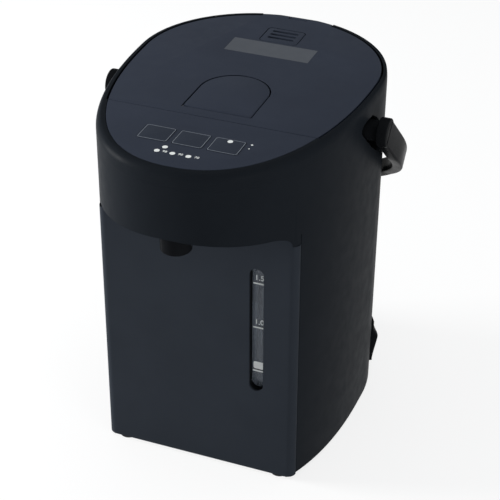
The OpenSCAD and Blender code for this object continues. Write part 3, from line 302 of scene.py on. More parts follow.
def bar(name, r, x0, x1, y, z, round_r=0.4, steps=48):
    """A round bar along X with softened ends."""
    turns = [math.pi / 2 * k / 4 for k in range(5)]
    left = [(r - round_r * (1 - math.sin(a)), x0 + round_r * (1 - math.cos(a))) for a in turns]
    right = [(radius, x0 + x1 - x) for radius, x in reversed(left)]
    return moved(turned(name, [(0, x0)] + left + right + [(0, x1)], steps), at(0, y, z) @ facing_side)


def evaluated_mesh(obj):
    """A new mesh of what an object shows, with its modifiers or its type turned into faces."""
    bpy.context.view_layer.update()
    return bpy.data.meshes.new_from_object(obj.evaluated_get(bpy.context.evaluated_depsgraph_get()))


def cut(obj, *cutters, how="DIFFERENCE"):
    for cutter in cutters:
        modifier = obj.modifiers.new("cut", "BOOLEAN")
        modifier.object, modifier.operation, modifier.solver = cutter, how, "EXACT"
        result = evaluated_mesh(obj)
        obj.modifiers.clear()
        obj.data = result
        bpy.data.objects.remove(cutter)
    return obj


def joined(obj, *others):
    """One piece from several meshes that touch or pass into each other."""
    work = bmesh.new()
    work.from_mesh(obj.data)
    for other in others:
        work.from_mesh(other.data)
        bpy.data.objects.remove(other)
    work.to_mesh(obj.data)
    work.free()
    return obj


def finished(obj, body, slot_name, *solids, angle=32):
    """Smooth shading up to an angle, a body to ride on, a finish, and the solids that the piece stands for."""
    for polygon in obj.data.polygons:
        polygon.use_smooth = True
    obj.data.set_sharp_from_angle(angle=math.radians(angle))
    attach(obj, body)
    if solids:
        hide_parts(*solids)
    obj["finish"] = slot_name
    print(obj.name, "rides on", body, "with", len(obj.data.polygons), "faces")
    return obj


print("turned to the front, the top of a slab faces", [round(c) for c in facing_front @ Vector((0, 0, 1))])

# %% [markdown]
# ## The bay under the head
# A cup stands in a bay below the head. There the oval body is cut back to a flat front with rounded upright
# corners, and the bay's upper edge is an arch. A box could cut it with bevels on its edges. Here one outline
# seen from above meets one seen from the front, so each of the two roundings keeps its own radius.

# %% Bay cutter
far, past = 400, 5    # cutters end far outside the pot, or a little past the piece that they cut
panel_y = limits("front_panel")[0].y
corner_r = 6
corner_y = panel_y + corner_r
corner_x = side_x(0, corner_y)
head_edge_z, head_sag, head_edge_r, head_edge_in = 222, 5, 12, 3
bay_z0 = -20


def bay_outline(inset):
    x0, r = side_x(inset, corner_y), corner_r - inset
    right = arc(x0 - r, corner_y, r, 0, -90, 10)
    left = arc(-x0 + r, corner_y, r, -90, -180, 10)
    return [(-far, -far), (far, -far), (far, corner_y)] + right + left + [(-far, corner_y)]


def arch_outline():
    half = corner_x - head_edge_in - head_edge_r
    low = head_edge_z - head_sag - head_edge_r
    top = [(half * (1 - i / 20), head_edge_z - head_sag * (1 - i / 20) ** 2) for i in range(41)]
    return ([(-far, -far), (far, -far), (far, low)] + arc(half, low, head_edge_r, 0, 90, 10)[:-1] + top
            + arc(-half, low, head_edge_r, 90, 180, 10)[1:] + [(-far, low)])


def under_arch(drop):
    """All that lies below the arch of the head, lowered by drop."""
    return moved(slab("arch", arch_outline(), -far, far), at(0, 0, -drop) @ facing_front)


def bay(inset, drop=0.0):
    return cut(slab("bay", bay_outline(inset), bay_z0, head_edge_z + 1), under_arch(drop), how="INTERSECT")


print("half width of the panel", round(corner_x, 2))

# %% [markdown]
# ## The openings of the casing
# Each arm of the handle swings in a recess high on its side, and the power inlet stands in an opening low on
# the right rear wall. The inlet could sit on a flat patch. It faces straight out of the oval instead, at the
# one point of the rear ellipse whose wall faces that way.

# %% Recesses and the inlet's place
pivot_y, pivot_z = front_y + 144, total_h - 23.5
pocket_corners = [(25, -31), (36, -16), (14, 3.2), (4, 9.6), (-8, 10), (-21, 8), (8, -19)]
pocket_r, pocket_deep = 4, 8.5
inlet_turn = math.radians(30)
inlet_w, inlet_h, inlet_z0, inlet_gap = 36, 38, 15, 0.3
rear_depth = rear_y - wide_y
inlet_k = 1 / math.hypot(body_hw * math.cos(inlet_turn), rear_depth * math.sin(inlet_turn))
inlet_x = body_hw ** 2 * math.cos(inlet_turn) * inlet_k
inlet_y = wide_y + rear_depth ** 2 * math.sin(inlet_turn) * inlet_k
inlet_frame = at(inlet_x, inlet_y, 0) @ Matrix.Rotation(inlet_turn, 4, "Z")


def handle_recess():
    """The recess of the right arm, seen from the side and drawn about the pivot."""
    return prism_along_x(softened(pocket_corners, pocket_r), body_hw - pocket_deep, far, pivot_y, pivot_z)


print("the inlet stands at", round(inlet_x, 1), round(inlet_y, 1))

# %% [markdown]
# ## The casing
# The upright skin of the pot is one moulding that leans in a little towards its base, so that it could leave
# its tool. It could be drawn as a thin shell at once. It is easier as a full slab that is leaned and then
# hollowed by a smaller one, with the bay, the recesses and the inlet's opening cut out of it.

# %% Casing skin
wall, draft, base_r = 2.5, 2.4, 2.2
panel_side, groove_w, groove_d = 0.2, 1.8, 0.7


def draft_at(z):
    """How far the sides and the rear lean in at a height."""
    return draft * (ring_z0 - z) / (ring_z0 - shell_z0)


def drafted(obj):
    """The same mesh with leaning sides and a leaning rear; its front stays upright."""
    for vertex in obj.data.vertices:
        x, y, z = vertex.co / mm
        side = min(1.0, max(0.0, (y - panel_y) / (wide_y - panel_y)))
        rear = max(0.0, (y - wide_y) / (rear_y - wide_y))
        vertex.co = Vector((x * (1 - side * draft_at(z) / body_hw), y - rear * draft_at(z), z)) * mm
    return obj


casing = drafted(slab("casing_skin", body_oval(0), shell_z0, ring_z0, bottom=base_r))
hollow = cut(drafted(slab("hollow", body_oval(wall), shell_z0 - past, ring_z0 + past)), bay(wall, 1.0))
panel_outline = rounded_rect(2 * (corner_x - corner_r - panel_side), 8, 0.2, 0, panel_y)
panel_room = slab("panel_room", panel_outline, shell_z0 - past, head_edge_z + 0.4)
inlet_opening = slab("inlet", rounded_rect(26, inlet_w + 2 * inlet_gap, 3, 0, 0), inlet_z0 - inlet_gap,
                     inlet_z0 + inlet_h + inlet_gap)
moved(inlet_opening, inlet_frame)
grooves = [slab("groove", rounded_rect(groove_w, groove_d, 0.2, x, corner_y + 0.2), shell_z0 - past,
                head_edge_z - head_sag - 4) for x in (-corner_x, corner_x)]
cut(casing, bay(0), hollow, panel_room, handle_recess(), moved(handle_recess(), mirror_x))
cut(casing, inlet_opening, *grooves)
finished(casing, "casing", "casing_black", "body_shell")

# %% [markdown]
# ## The front panel's face
# The flat front is faced with a thin textured sheet that runs round both upright corners. Its upper edge
# follows the arch of the head, and the slot of the water gauge is cut out of it. A second finish on some
# faces of the casing could show it too, but a sheet of its own has a true edge that catches the light.

# %% Panel skin
sheet_out, sheet_in, sheet_drop = 0.06, 0.35, 0.3
gauge_low, gauge_high = limits("gauge_window")
gauge_x, gauge_mid = (gauge_low.x + gauge_high.x) / 2, (gauge_low.z + gauge_high.z) / 2
gauge_w, gauge_r, window_lap = 10.6, 5, 1.6
gauge_h = gauge_high.z - gauge_low.z - 2 * window_lap


def panel_path(out):
    """The front of the panel with its two corners, moved out by a distance."""
    x0, r = corner_x - corner_r, corner_r + out
    return arc(-x0, corner_y, r, 180, 270, 10) + arc(x0, corner_y, r, 270, 360, 10)


sheet = slab("panel_skin", panel_path(sheet_out) + panel_path(-sheet_in)[::-1], shell_z0 + 0.3, head_edge_z + 1)
cut(sheet, under_arch(sheet_drop), how="INTERSECT")
gauge_slot = slab("slot", rounded_rect(gauge_w, gauge_h, gauge_r), -8, 8)
cut(sheet, moved(gauge_slot, at(gauge_x, panel_y, gauge_mid) @ facing_front))
finished(sheet, "casing", "panel_black")

# %% [markdown]
# ## The shoulder
# A separate ring closes the top of the casing and rolls over in a soft quarter round. A bevel would keep one
# outline, but the ring's upper oval is smaller and rounder than the body's, so the rings of points pass from
# one oval to the other. The ring carries the recesses for the control face and the lid and the notch for the
# hinge.

# %% Shoulder skin
edge_h, foot_h = 6.5, 0.5
deck_z = ring_z0 + 2.5
lid_gap, face_gap = 1.5, 0.3
barrel_r, tail_hw, tail_gap = 2.9, 27.8, 0.8
hinge_y, hinge_z = rear_y - 4.2, total_h - barrel_r
container_y, mouth_r = front_y + 161, 63
face_low, face_high = limits("control_panel")
seam_y = face_high.y


def behind_hinge(width, r, length=40):
    """The outline of a cut that runs from just in front of the hinge's barrel to behind the pot."""
    return rounded_rect(width, length, r, 0, hinge_y - barrel_r - tail_gap + length / 2)


lower_oval, upper_oval = body_oval(0), top_oval(0)
rings = [at_height(lower_oval, ring_z0), at_height(lower_oval, ring_z0 + foot_h)]
for k in range(11):
    a = math.pi / 2 * k / 10
    w = 1 - math.cos(a)
    mix = [(p[0] * (1 - w) + q[0] * w, p[1] * (1 - w) + q[1] * w) for p, q in zip(lower_oval, upper_oval)]
    rings.append(at_height(mix, total_h - edge_h + edge_h * math.sin(a)))
shoulder = skinned("shoulder_skin", rings)
lid_recess = slab("lid_recess", clipped(lid_oval(-lid_gap), seam_y, 1), deck_z, total_h + past)
face_recess = slab("face_recess", clipped(lid_oval(-face_gap), seam_y + 0.2, -1), face_low.z, total_h + past)
board_room = slab("board_room", clipped(top_oval(9), seam_y - 4, -1), deck_z, face_low.z + 1)
mouth = turned("mouth", [(0, -20), (mouth_r, -20), (mouth_r, 20), (0, 20)], 96)
moved(mouth, at(0, container_y, ring_z0))
notch = slab("notch", behind_hinge(2 * (tail_hw + tail_gap), 1.2), hinge_z - barrel_r - 0.6, total_h + past)
cut(shoulder, lid_recess, face_recess, board_room, mouth, notch)
finished(shoulder, "casing", "casing_black", "shoulder_ring")

# %% [markdown]
# ## The hinge's knuckle
# The middle of the hinge stands on the deck of the ring as a short barrel on a foot. It has the colour of the
# lid, not of the ring, so it is a piece of its own here. It could be cut from the ring, but would then share
# its finish.

# %% Knuckle
knuckle_hw, knuckle_side = 7, 0.3
knuckle = bar("knuckle", barrel_r, -knuckle_hw, knuckle_hw, hinge_y, hinge_z)
knuckle_foot = slab("foot", rounded_rect(2 * knuckle_hw, 2 * barrel_r, 0.4, 0, hinge_y), deck_z - 1, hinge_z)
finished(joined(knuckle, knuckle_foot), "casing", "top_slate")

# %% [markdown]
# ## The lid
# The lid is a flush cover plate with turned-down walls. It ends at the rear in two tails whose rounded ends
# hold the hinge pin. The release lever, the steam vent and the label plate lie in shallow recesses. The plate
# could be pressed out of a grid, but as a slab with cutters each recess stays a single line that is easy to
# change.

# %% Openings of the lid
lid_low = limits("lid_cover")[0]
lid_front_y, lid_t = lid_low.y, 2.2
through_z = total_h - 3.2    # a little below the plate
lever_low, lever_high = limits("lid_lever")
lever_hw, nose_r, lever_reach = lever_high.x, 2.5, 30.1
lever_pin_y = lever_low.y + nose_r
vent_low, vent_high = limits("steam_vent_cover")
vent_w, vent_d, vent_y = vent_high.x * 2, vent_high.y - vent_low.y, (vent_low.y + vent_high.y) / 2
label_low, label_high = limits("lid_label_plate")
label_w, label_d, label_y = label_high.x * 2, label_high.y - label_low.y, (label_low.y + label_high.y) / 2
lever_gap, vent_gap, label_gap = 0.9, 0.65, 0.15
bolt_x, bolt_z0, bolt_z1 = 16, lid_low.z + 3.1, lid_low.z + 4.8


def lever_outline(gap, r=2.0):
    """The D of the lever. With a gap it is the opening, which also leaves room for the rounded nose."""
    front = (lever_low.y if gap else lever_pin_y) - gap
    hw = lever_hw + gap
    corners = arc(-hw + r, front + r, r, 180, 270, 4) + arc(hw - r, front + r, r, 270, 360, 4)
    return corners + arc(0, lever_pin_y + lever_reach, hw, 0, 180, 40)


lever_opening = slab("lever_opening", lever_outline(lever_gap, 1.0), through_z, total_h + past)
vent_room = rounded_rect(vent_w + 2 * vent_gap, vent_d + 2 * vent_gap, 3.6, 0, vent_y)
vent_pocket = slab("vent_pocket", vent_room, through_z, total_h + past)
label_room = rounded_rect(label_w + 2 * label_gap, label_d + 2 * label_gap, 0.8, 0, label_y)
label_pocket = slab("label_pocket", label_room, total_h - 0.32, total_h + past)
knuckle_room = slab("knuckle_room", behind_hinge(2 * (knuckle_hw + knuckle_side), 0.5), lid_low.z - past,
                    total_h + past)
bolt_slots = [slab("bolt", rounded_rect(8.4, 12, 0.3, x, lid_front_y), bolt_z0, bolt_z1)
              for x in (-bolt_x, bolt_x)]
print("openings of the lid:", 4 + len(bolt_slots))

# %% [markdown]
# ## The lid's skin
# The plate is hollowed from below and cut straight at the hinge's axis. The tails are then drawn from the
# side, with a half round for the hinge pin, and trimmed to the oval of the top. They could be cut from the
# plate too, but the round end turns about the hinge, so it is drawn about the hinge.

# %% Lid skin
lid = slab("lid_skin", clipped(lid_oval(0), lid_front_y, 1), lid_low.z, total_h, top=0.4)
inside_outline = clipped(clipped(lid_oval(lid_t), lid_front_y + lid_t, 1), hinge_y - 6, -1)
inside = slab("inside", inside_outline, lid_low.z - past, total_h - lid_t)
rear_cut = slab("rear_cut", [(-far, hinge_y - 0.2), (far, hinge_y - 0.2), (far, far), (-far, far)],
                lid_low.z - past, total_h + past)
tail_y = hinge_y - 11.8
tail_side = [(tail_y, total_h), (tail_y, total_h - 2 * barrel_r)] + arc(hinge_y, hinge_z, barrel_r, -90, 90, 16)
tails = []
for side in (-1, 1):
    x0, x1 = sorted((side * (knuckle_hw + knuckle_side), side * tail_hw))
    trim = slab("trim", top_oval(0.15), total_h - 12, total_h, top=1.2)
    tails.append(cut(prism_along_x(tail_side, x0, x1), trim, how="INTERSECT"))
cut(lid, inside, rear_cut, lever_opening, vent_pocket, label_pocket, knuckle_room, *bolt_slots)
cut(lid, *tails, how="UNION")
finished(lid, "lid", "top_slate", "lid_cover")

# %% [markdown]
# ## The steam vent
# Steam leaves through three slots in a loose cover that lies flush in the lid. The slots could be painted on.
# They are cut through, so that the duct below shows in them from every side.

# %% Vent skin
slot_w, slot_d, slot_pitch, slot_shift = 20.6, 2.9, 5.6, 1.2
vent = slab("vent_skin", rounded_rect(vent_w, vent_d, 3, 0, vent_y), vent_low.z, total_h, top=0.4)
vent_slots = [slab("slot", rounded_rect(slot_w, slot_d, 1, 0, vent_y + slot_shift + k * slot_pitch),
                   total_h - 4, total_h + past) for k in (-1, 0, 1)]
cut(vent, *vent_slots)
finished(vent, "lid", "top_slate", "steam_vent_cover")

# %% [markdown]
# ## The control face
# The control face is a thin plate that fills the front of the flat top. Holes in it let the three keys and
# the lenses of the lamps through. It could be painted onto the top, but real seams give each key its dark
# outline.

# %% Control face
button_pitch, button_y = 25.2, front_y + 44.3
key_w, key_d, key_gap = 21.2, 18.6, 0.35
lamp_spots = [(-12.2, 28.7), (-15.3, 22.5), (-4.2, 22.5), (7.2, 22.5)]    # across, and back from the front
lamp_r = 1.9
small_x, small_back, small_r = 40.2, 52.2, 0.8


def lens_hole(x, y, r, deep=9):
    return moved(turned("lens_hole", [(0, -deep), (r, -deep), (r, 9), (0, 9)], 40), at(x, y, total_h))


def key_outline(k, more, r):
    """The outline of key -1, 0 or 1, larger than the key by a distance all round."""
    return rounded_rect(key_w + 2 * more, key_d + 2 * more, r, k * button_pitch, button_y)


face = slab("face_skin", clipped(lid_oval(0), seam_y, -1), face_low.z, total_h, top=0.3)
key_holes = [slab("key_hole", key_outline(k, key_gap, 1.9), face_low.z - 2, total_h + 2) for k in (-1, 0, 1)]
lens_holes = [lens_hole(x, front_y + back, lamp_r) for x, back in lamp_spots]
cut(face, *key_holes, *lens_holes, lens_hole(small_x, front_y + small_back, small_r))
finished(face, "casing", "top_slate", "control_panel")

# %% [markdown]
# ## The keys
# Three flat keys lie almost flush in the control face. A flange below holds each one in, and a fine pale line
# is printed round its edge. The line could be a colour in the key's finish. As a thin frame of its own it
# follows the rounded corners at one width.

# %% Keys
key_r, key_top = 1.5, total_h + 0.3
flange_w, line_outer, line_inner = 1.2, 0.15, 0.475
lock_back, lock_r, lock_deep = 6.6, 1.95, 1.6
for k, body in ((-1, "keep_warm"), (0, "dispense"), (1, "unlock")):
    node = body + "_button"
    key_z0 = limits(node)[0].z
    key = slab(body + "_key", key_outline(k, 0, key_r), key_z0 + 0.6, key_top, top=0.25)
    flange = slab("flange", key_outline(k, flange_w, 2.7), key_z0 + 0.6, key_z0 + 2)
    if body == "unlock":
        cut(key, lens_hole(k * button_pitch, button_y + lock_back, lock_r, lock_deep))
    finished(joined(key, flange), body, "button_slate", node)
    line = slab(body + "_key_line", key_outline(k, -line_outer, 1.4), key_top - 0.1, key_top + 0.015)
    window = slab("window", key_outline(k, -line_inner, 1.1), key_top - 1, key_top + 1)
    finished(cut(line, window), body, "print_grey")

# %% [markdown]
# ## The release lever
# A D-shaped paddle, hinged at its straight front edge, which is thickened to a round nose. Two lugs below the
# nose push the latch. The upper edges are softened so that a finger finds them. The paddle could be cut from
# a disc, but one outline keeps the rim's radius all round.

# %% Lever skin
lever_t, lug_x = 2.2, 14
lever = slab("lever_skin", lever_outline(0.0), total_h - lever_t, total_h, top=0.8, bottom=0.3)
nose = bar("nose", nose_r, -lever_hw, lever_hw, lever_pin_y, total_h - nose_r, 0.6)
lugs = [slab("lug", rounded_rect(4, 1.6, 0.2, x, lever_pin_y), lever_low.z + 0.2, total_h - nose_r)
        for x in (-lug_x, lug_x)]
finished(joined(lever, nose, *lugs), "lever", "top_slate", "lid_lever")

# %% [markdown]
# ## The carry handle
# The bail is one bent band: two flat arms beside the body and a slimmer grip across the back. A curve with a
# bevel could draw it, but would give it one thickness. It is skinned over a rounded rectangle that travels
# along an inner and an outer loop, and each arm ends in a round eye for its pivot pin.

# %% Handle skin
fold = math.radians(42.4)
handle_plane = at(0, pivot_y, pivot_z) @ Matrix.Rotation(-fold, 4, "X")
band_w, band_r, arm_t, grip_t = 19.4, 1.6, 8, 7
arm_straight, grip_power = 40, 2.07
arm_in = body_hw + 6.2
arm_out = arm_in + arm_t
reach_in = (rear_y - pivot_y + 1.95 + band_w / 2 * math.sin(fold)) / math.cos(fold)
reach_out = reach_in + grip_t
slim_share, slim_rate = 0.7, 1.6
eye_r, hub_r = band_w / 2 + 0.8, 7.4


def loop_line(half, reach, arm_steps=6, bow_steps=96):
    arm = [(half, arm_straight * i / arm_steps) for i in range(arm_steps)]
    bow = []
    for i in range(bow_steps + 1):
        a = math.pi * i / bow_steps
        bow.append((half * spow(math.cos(a), 2 / grip_power),
                    arm_straight + (reach - arm_straight) * spow(math.sin(a), 2 / grip_power)))
    return arm + bow + [(-x, v) for x, v in reversed(arm)]


def band_section(inner, outer, lower):
    """The band cut across between its two loops; lower is the share of its lower half that is left."""
    thick = (outer - inner).length
    across = (outer - inner).normalized()
    section = []
    for a, b in rounded_rect(thick, band_w, min(band_r, thick * 0.3), thick / 2, 0, 4):
        spot = inner + across * a
        section.append((spot.x, spot.y, b if b > 0 else b * lower))
    return section


sections = []
for start, end in zip(loop_line(arm_in, reach_in), loop_line(arm_out, reach_out)):
    along = max(0.0, (start[1] - arm_straight) / (reach_in - arm_straight))
    sections.append(band_section(Vector(start), Vector(end), 1 - slim_share * min(1.0, along * slim_rate)))
handle = moved(skinned("handle_skin", sections), handle_plane)
for side in (-1, 1):
    x0, x1 = sorted((side * (arm_in + 0.3), side * (arm_out - 0.3)))
    eye = bar("eye", eye_r, x0, x1, pivot_y, pivot_z, 0.9, 64)
    x0, x1 = sorted((side * (body_hw - 8.2), side * (arm_in + 1)))
    hub = bar("hub", hub_r, x0, x1, pivot_y, pivot_z, 0.4)
    joined(handle, eye, hub)
finished(handle, "handle", "gloss_black", "handle")

# %% [markdown]
# ## The nozzle
# The hot water leaves through a short round nozzle under the head. It could be two stacked cylinders. Turned
# from one profile it also has the soft lower lip and the hollow mouth that a real nozzle shows from below.

# %% Nozzle skin
nozzle_low, nozzle_high = limits("nozzle")
nozzle_y, nozzle_r, lip_r = front_y + 15.6, 11, 1.2
bore_r, neck_r, mouth_h = 3.2, 9, 6
tip_z, ceiling_z = nozzle_low.z, head_edge_z + 0.4
profile = [(bore_r, nozzle_high.z), (neck_r, nozzle_high.z), (neck_r, ceiling_z), (nozzle_r, ceiling_z)]
profile += [(nozzle_r - lip_r + r, tip_z + lip_r - z) for r, z in arc(0, 0, lip_r, 0, 90, 5)]
profile += [(9.3, tip_z), (neck_r, tip_z + 0.3), (neck_r, tip_z + mouth_h), (bore_r, tip_z + mouth_h),
            (bore_r, nozzle_high.z)]
nozzle = moved(turned("nozzle_skin", profile, 72), at(0, nozzle_y, 0))
finished(nozzle, "casing", "gloss_black", "nozzle")

# %% [markdown]
# ## The power inlet
# The inlet stands out of the right rear wall as a soft hood round a shallow socket with two pins. The hood
# swells and falls away in both directions, which no bevel gives, so its front is a grid whose points stand
# out by a formula. The rim of the grid is then carried back into the wall.

# %% Inlet skin
hood_base, hood_swell, hood_top, hood_peak = 0.3, 5.6, 0.8, 0.52
hood_back = -13
socket_w, socket_h, socket_r = 24, 15, 2.2


def hood_out(s, t):
    """Stand-out of the hood for s across, -1 to 1, and t up, 0 to 1."""
    if t > hood_top:
        return hood_base
    if t < hood_peak:
        up = 1 - ((hood_peak - t) / hood_peak) ** 1.15
    else:
        up = 1 - ((t - hood_peak) / (hood_top - hood_peak)) ** 1.6
    return hood_base + hood_swell * up * (1 - abs(s) ** 5) ** 0.5


columns, rows = 28, 32
n = columns + 1
points = []
for j in range(rows + 1):
    z = inlet_z0 + j / rows * inlet_h
    for i in range(n):
        s = -1 + 2 * i / columns
        points.append((hood_out(s, j / rows) - draft_at(z), s * inlet_w / 2, z))
faces = [(j * n + i, j * n + i + 1, (j + 1) * n + i + 1, (j + 1) * n + i)
         for j in range(rows) for i in range(columns)]
rim = [j * n for j in range(rows + 1)] + [rows * n + i for i in range(1, n)]
rim += [j * n + columns for j in range(rows - 1, -1, -1)] + list(range(n - 2, 0, -1))
back = list(range(len(points), len(points) + len(rim)))
points += [(hood_back, points[index][1], points[index][2]) for index in rim]
faces += list(zip(rim, rim[1:] + rim[:1], back[1:] + back[:1], back))
faces.append(tuple(back))
inlet = mesh_piece("inlet_skin", points, faces)
socket = moved(slab("socket", rounded_rect(socket_w, socket_h, socket_r), -10, 20), facing_side)
cut(inlet, moved(socket, at(0, 0, inlet_z0 + inlet_h / 2)))
finished(moved(inlet, inlet_frame), "casing", "gloss_black", "inlet_housing")

# %% [markdown]
# ## Gauge marks and lamp numbers
# The level marks are printed on the gauge window: a line with its volume above it, and a pale block for the
# refill level. Beside three lamps stand the keep-warm temperatures. An image could hold them, but type turned
# into thin meshes needs no file and stays sharp.

# %% Printed marks
def print_mark(name, outline, to_place):
    return finished(moved(slab(name, outline, 0, 0.05), to_place), "casing", "print_white")


def print_number(name, words, size, to_place):
    type_data = bpy.data.curves.new(name, "FONT")
    type_data.body, type_data.size = words, size * mm
    type_data.align_x, type_data.align_y = "CENTER", "BOTTOM"
    type_data.extrude, type_data.offset, type_data.resolution_u = 0.025 * mm, 0.02 * mm, 3
    carrier = in_scene(name + "_type", type_data)
    mesh = evaluated_mesh(carrier)
    bpy.data.objects.remove(carrier)
    return finished(moved(in_scene(name, mesh), to_place), "casing", "print_white")


def on_gauge(z):
    return at(gauge_x, gauge_low.y - 0.06, z) @ facing_front


def on_face(x, back):
    return at(x, front_y + back, total_h + 0.02)


level_line = rounded_rect(9.6, 1.1, 0.3)
for name, words, z in (("mark_high", "1.5", 165.2), ("mark_middle", "1.0", 127.8)):
    print_mark(name + "_line", level_line, on_gauge(z))
    print_number(name + "_number", words, 6, on_gauge(z + 1.6))
print_mark("mark_refill_line", level_line, on_gauge(89.7))
print_mark("mark_refill_block", rounded_rect(8.4, 6.2, 1.4), on_gauge(94.6))
for words, x in (("98", -9.9), ("90", 1.4), ("70", 12.9)):
    print_number("lamp_number_" + words, words, 3.4, on_face(x, 21.3))
print_mark("small_lamp_mark", rounded_rect(0.9, 0.9, 0.4), on_face(small_x, 46.6))

# %% [markdown]
# ## A language for finishes
# A finish is a small graph of shader nodes. It could be clicked together and copied. Wrapping each output in
# a class with operators lets a finish read like a formula instead: numbers go through Math, directions
# through Vector Math and colours through Mix.

# %% Wires
class Wire:
    """One output of a node that can be added, subtracted or multiplied."""

    def __init__(self, finish, socket):
        self.finish, self.socket = finish, socket

    def combine(self, operation, a, b):
        if self.socket.type == "RGBA":
            settings = {"data_type": "RGBA", "blend_type": operation}
            return self.finish.node("ShaderNodeMix", settings, {0: 1.0, 6: a, 7: b}, 2)
        kind = "ShaderNodeVectorMath" if self.socket.type == "VECTOR" else "ShaderNodeMath"
        return self.finish.node(kind, {"operation": operation}, {0: a, 1: b})

    def __add__(self, other):
        return self.combine("ADD", self, other)

    def __radd__(self, other):
        return self.combine("ADD", other, self)

    def __sub__(self, other):
        return self.combine("SUBTRACT", self, other)

    def __rsub__(self, other):
        return self.combine("SUBTRACT", other, self)

    def __mul__(self, other):
        return self.combine("MULTIPLY", self, other)

    def __rmul__(self, other):
        return self.combine("MULTIPLY", other, self)


print("a wire can be combined by", [name for name in vars(Wire) if name.endswith(("add__", "sub__", "mul__"))])

# %% [markdown]
# ## Finishes
# One method makes any node from its type, its settings and the values of its sockets. Noise is measured in
# millimetres of the piece, so a grain has the same size on a small key and on the tall casing.

# %% Finish helpers
class Finish:
    """A material with a Principled shader whose sockets are filled from numbers, colours and wires."""

    def __init__(self, name):
        self.material = bpy.data.materials.new(name)
        self.material.use_nodes = True
        self.tree = self.material.node_tree
        self.tree.nodes.clear()
        self.end = self.tree.nodes.new("ShaderNodeOutputMaterial")
        self.place = self.node("ShaderNodeTexCoord", out="Object")

    def plug(self, socket, value):
        if isinstance(value, Wire):
            self.tree.links.new(value.socket, socket)
        elif socket.type == "RGBA":
            socket.default_value = (*value[:3], 1.0)
        elif socket.type == "VECTOR":
            socket.default_value = (value,) * 3 if isinstance(value, (int, float)) else value
        else:
            socket.default_value = value

    def node(self, kind, settings=(), values=(), out=0):
        made = self.tree.nodes.new(kind)
        for key, value in dict(settings).items():
            setattr(made, key, value)
        for key, value in dict(values).items():
            self.plug(made.inputs[key], value)
        return Wire(self, made.outputs[out])

    def noise(self, size, detail=2.0, stretch=(1, 1, 1)):
        """Cloudy values from about 0.2 to 0.8 whose blotches measure about size millimetres."""
        where = self.place * tuple(1 / (size * mm * k) for k in stretch)
        return self.node("ShaderNodeTexNoise", {}, {"Vector": where, "Scale": 1.0, "Detail": detail}, "Fac")

    def blend(self, amount, a, b):
        return self.node("ShaderNodeMix", {"data_type": "RGBA"}, {0: amount, 6: a, 7: b}, 2)

    def spread(self, wire, low, high):
        """Noise values stretched to run from low to high."""
        ends = {"From Min": 0.3, "From Max": 0.7, "To Min": low, "To Max": high}
        return self.node("ShaderNodeMapRange", {}, {"Value": wire, **ends})

    def relief(self, height, depth, edge):
        """Surface relief of that depth in millimetres on an edge softened by that radius."""
        soft_edge = self.node("ShaderNodeBevel", {"samples": 4}, {"Radius": edge * mm}, "Normal")
        values = {"Height": height, "Strength": 1.0, "Distance": depth * mm, "Normal": soft_edge}
        return self.node("ShaderNodeBump", {}, values)

    def surface(self, **values):
        named = {name.replace("_", " "): value for name, value in values.items()}
        self.plug(self.end.inputs["Surface"], self.node("ShaderNodeBsdfPrincipled", {}, named))
        return self.material


def light_value(v):
    """A screen value, 0 to 255, turned into the light value that a shader takes."""
    return v / 255 / 12.92 if v <= 10 else ((v / 255 + 0.055) / 1.055) ** 2.4


def colour(red, green, blue):
    return tuple(light_value(v) for v in (red, green, blue))


def shaded(tone, share):
    return tuple(v * share for v in tone)


finishes = {}
print("light value of a mid grey:", round(light_value(128), 3))

# %% [markdown]
# ## Plastics
# Most of the pot is injection-moulded plastic. The tool that shapes it is etched with a fine grain, so the
# plastic has tiny bumps, a slightly uneven gloss and almost no change of colour. A scanned texture could show
# that, but three noises of different sizes stay sharp at any distance.

# %% Plastic finishes
def plastic(name, tone, rough, grain=0.5, depth=0.01, edge=0.3, shine=0.35, lift=1.12):
    f = Finish(name)
    cloud, speck, sheen = f.noise(38, 3.0), f.noise(grain, 2.0), f.noise(9, 2.0)
    finishes[name] = f.surface(
        Base_Color=f.blend(cloud, shaded(tone, 2 - lift), shaded(tone, lift)),
        Roughness=f.spread(sheen, rough - 0.04, rough + 0.04), Specular_IOR_Level=shine,
        Normal=f.relief(speck, depth, edge))


plastic("casing_black", colour(22, 25, 29), 0.42, grain=0.5, depth=0.006, edge=0.35, shine=0.009)
plastic("panel_black", colour(35, 39, 45), 0.6, grain=0.7, depth=0.02, edge=0.3, shine=0.03)
plastic("top_slate", colour(44, 49, 60), 0.46, grain=0.45, depth=0.008, edge=0.25, shine=0.04)
plastic("button_slate", colour(43, 48, 58), 0.42, grain=0.45, depth=0.006, edge=0.15, shine=0.04)
plastic("gloss_black", colour(17, 18, 20), 0.22, grain=1.5, depth=0.002, edge=0.3, shine=0.003)
plastic("component_dark", colour(40, 40, 43), 0.5)
plastic("label_grey", colour(62, 66, 73), 0.5, grain=0.3, depth=0.002, edge=0.05)
plastic("moulded_white", colour(214, 213, 206), 0.45, grain=0.8)
plastic("bracket_grey", colour(120, 122, 126), 0.5)
plastic("scale_grey", colour(120, 126, 134), 0.55, grain=1.2)
plastic("lens_white", colour(226, 228, 226), 0.35, grain=1.0, depth=0.002, edge=0.1, lift=1.03)
plastic("print_white", colour(226, 228, 226), 0.6, grain=0.3, depth=0.001, edge=0.02, lift=1.03)
plastic("print_grey", colour(120, 126, 134), 0.6, grain=0.3, depth=0.001, edge=0.02, lift=1.03)
plastic("board_green", colour(38, 110, 66), 0.4, grain=0.6)
print("plastics:", len(finishes))

# %% [markdown]
# ## Metals, rubber and the rest
# The container and the pins are steel, drawn or ground, so their fine lines run round or along the piece. The
# seals are silicone, the feet black rubber, and a needled felt keeps the water warm. Each could have an image
# of its own. One noise serves them all here: stretched in one direction it draws the lines of a metal, and
# left round it gives fibres and pores.

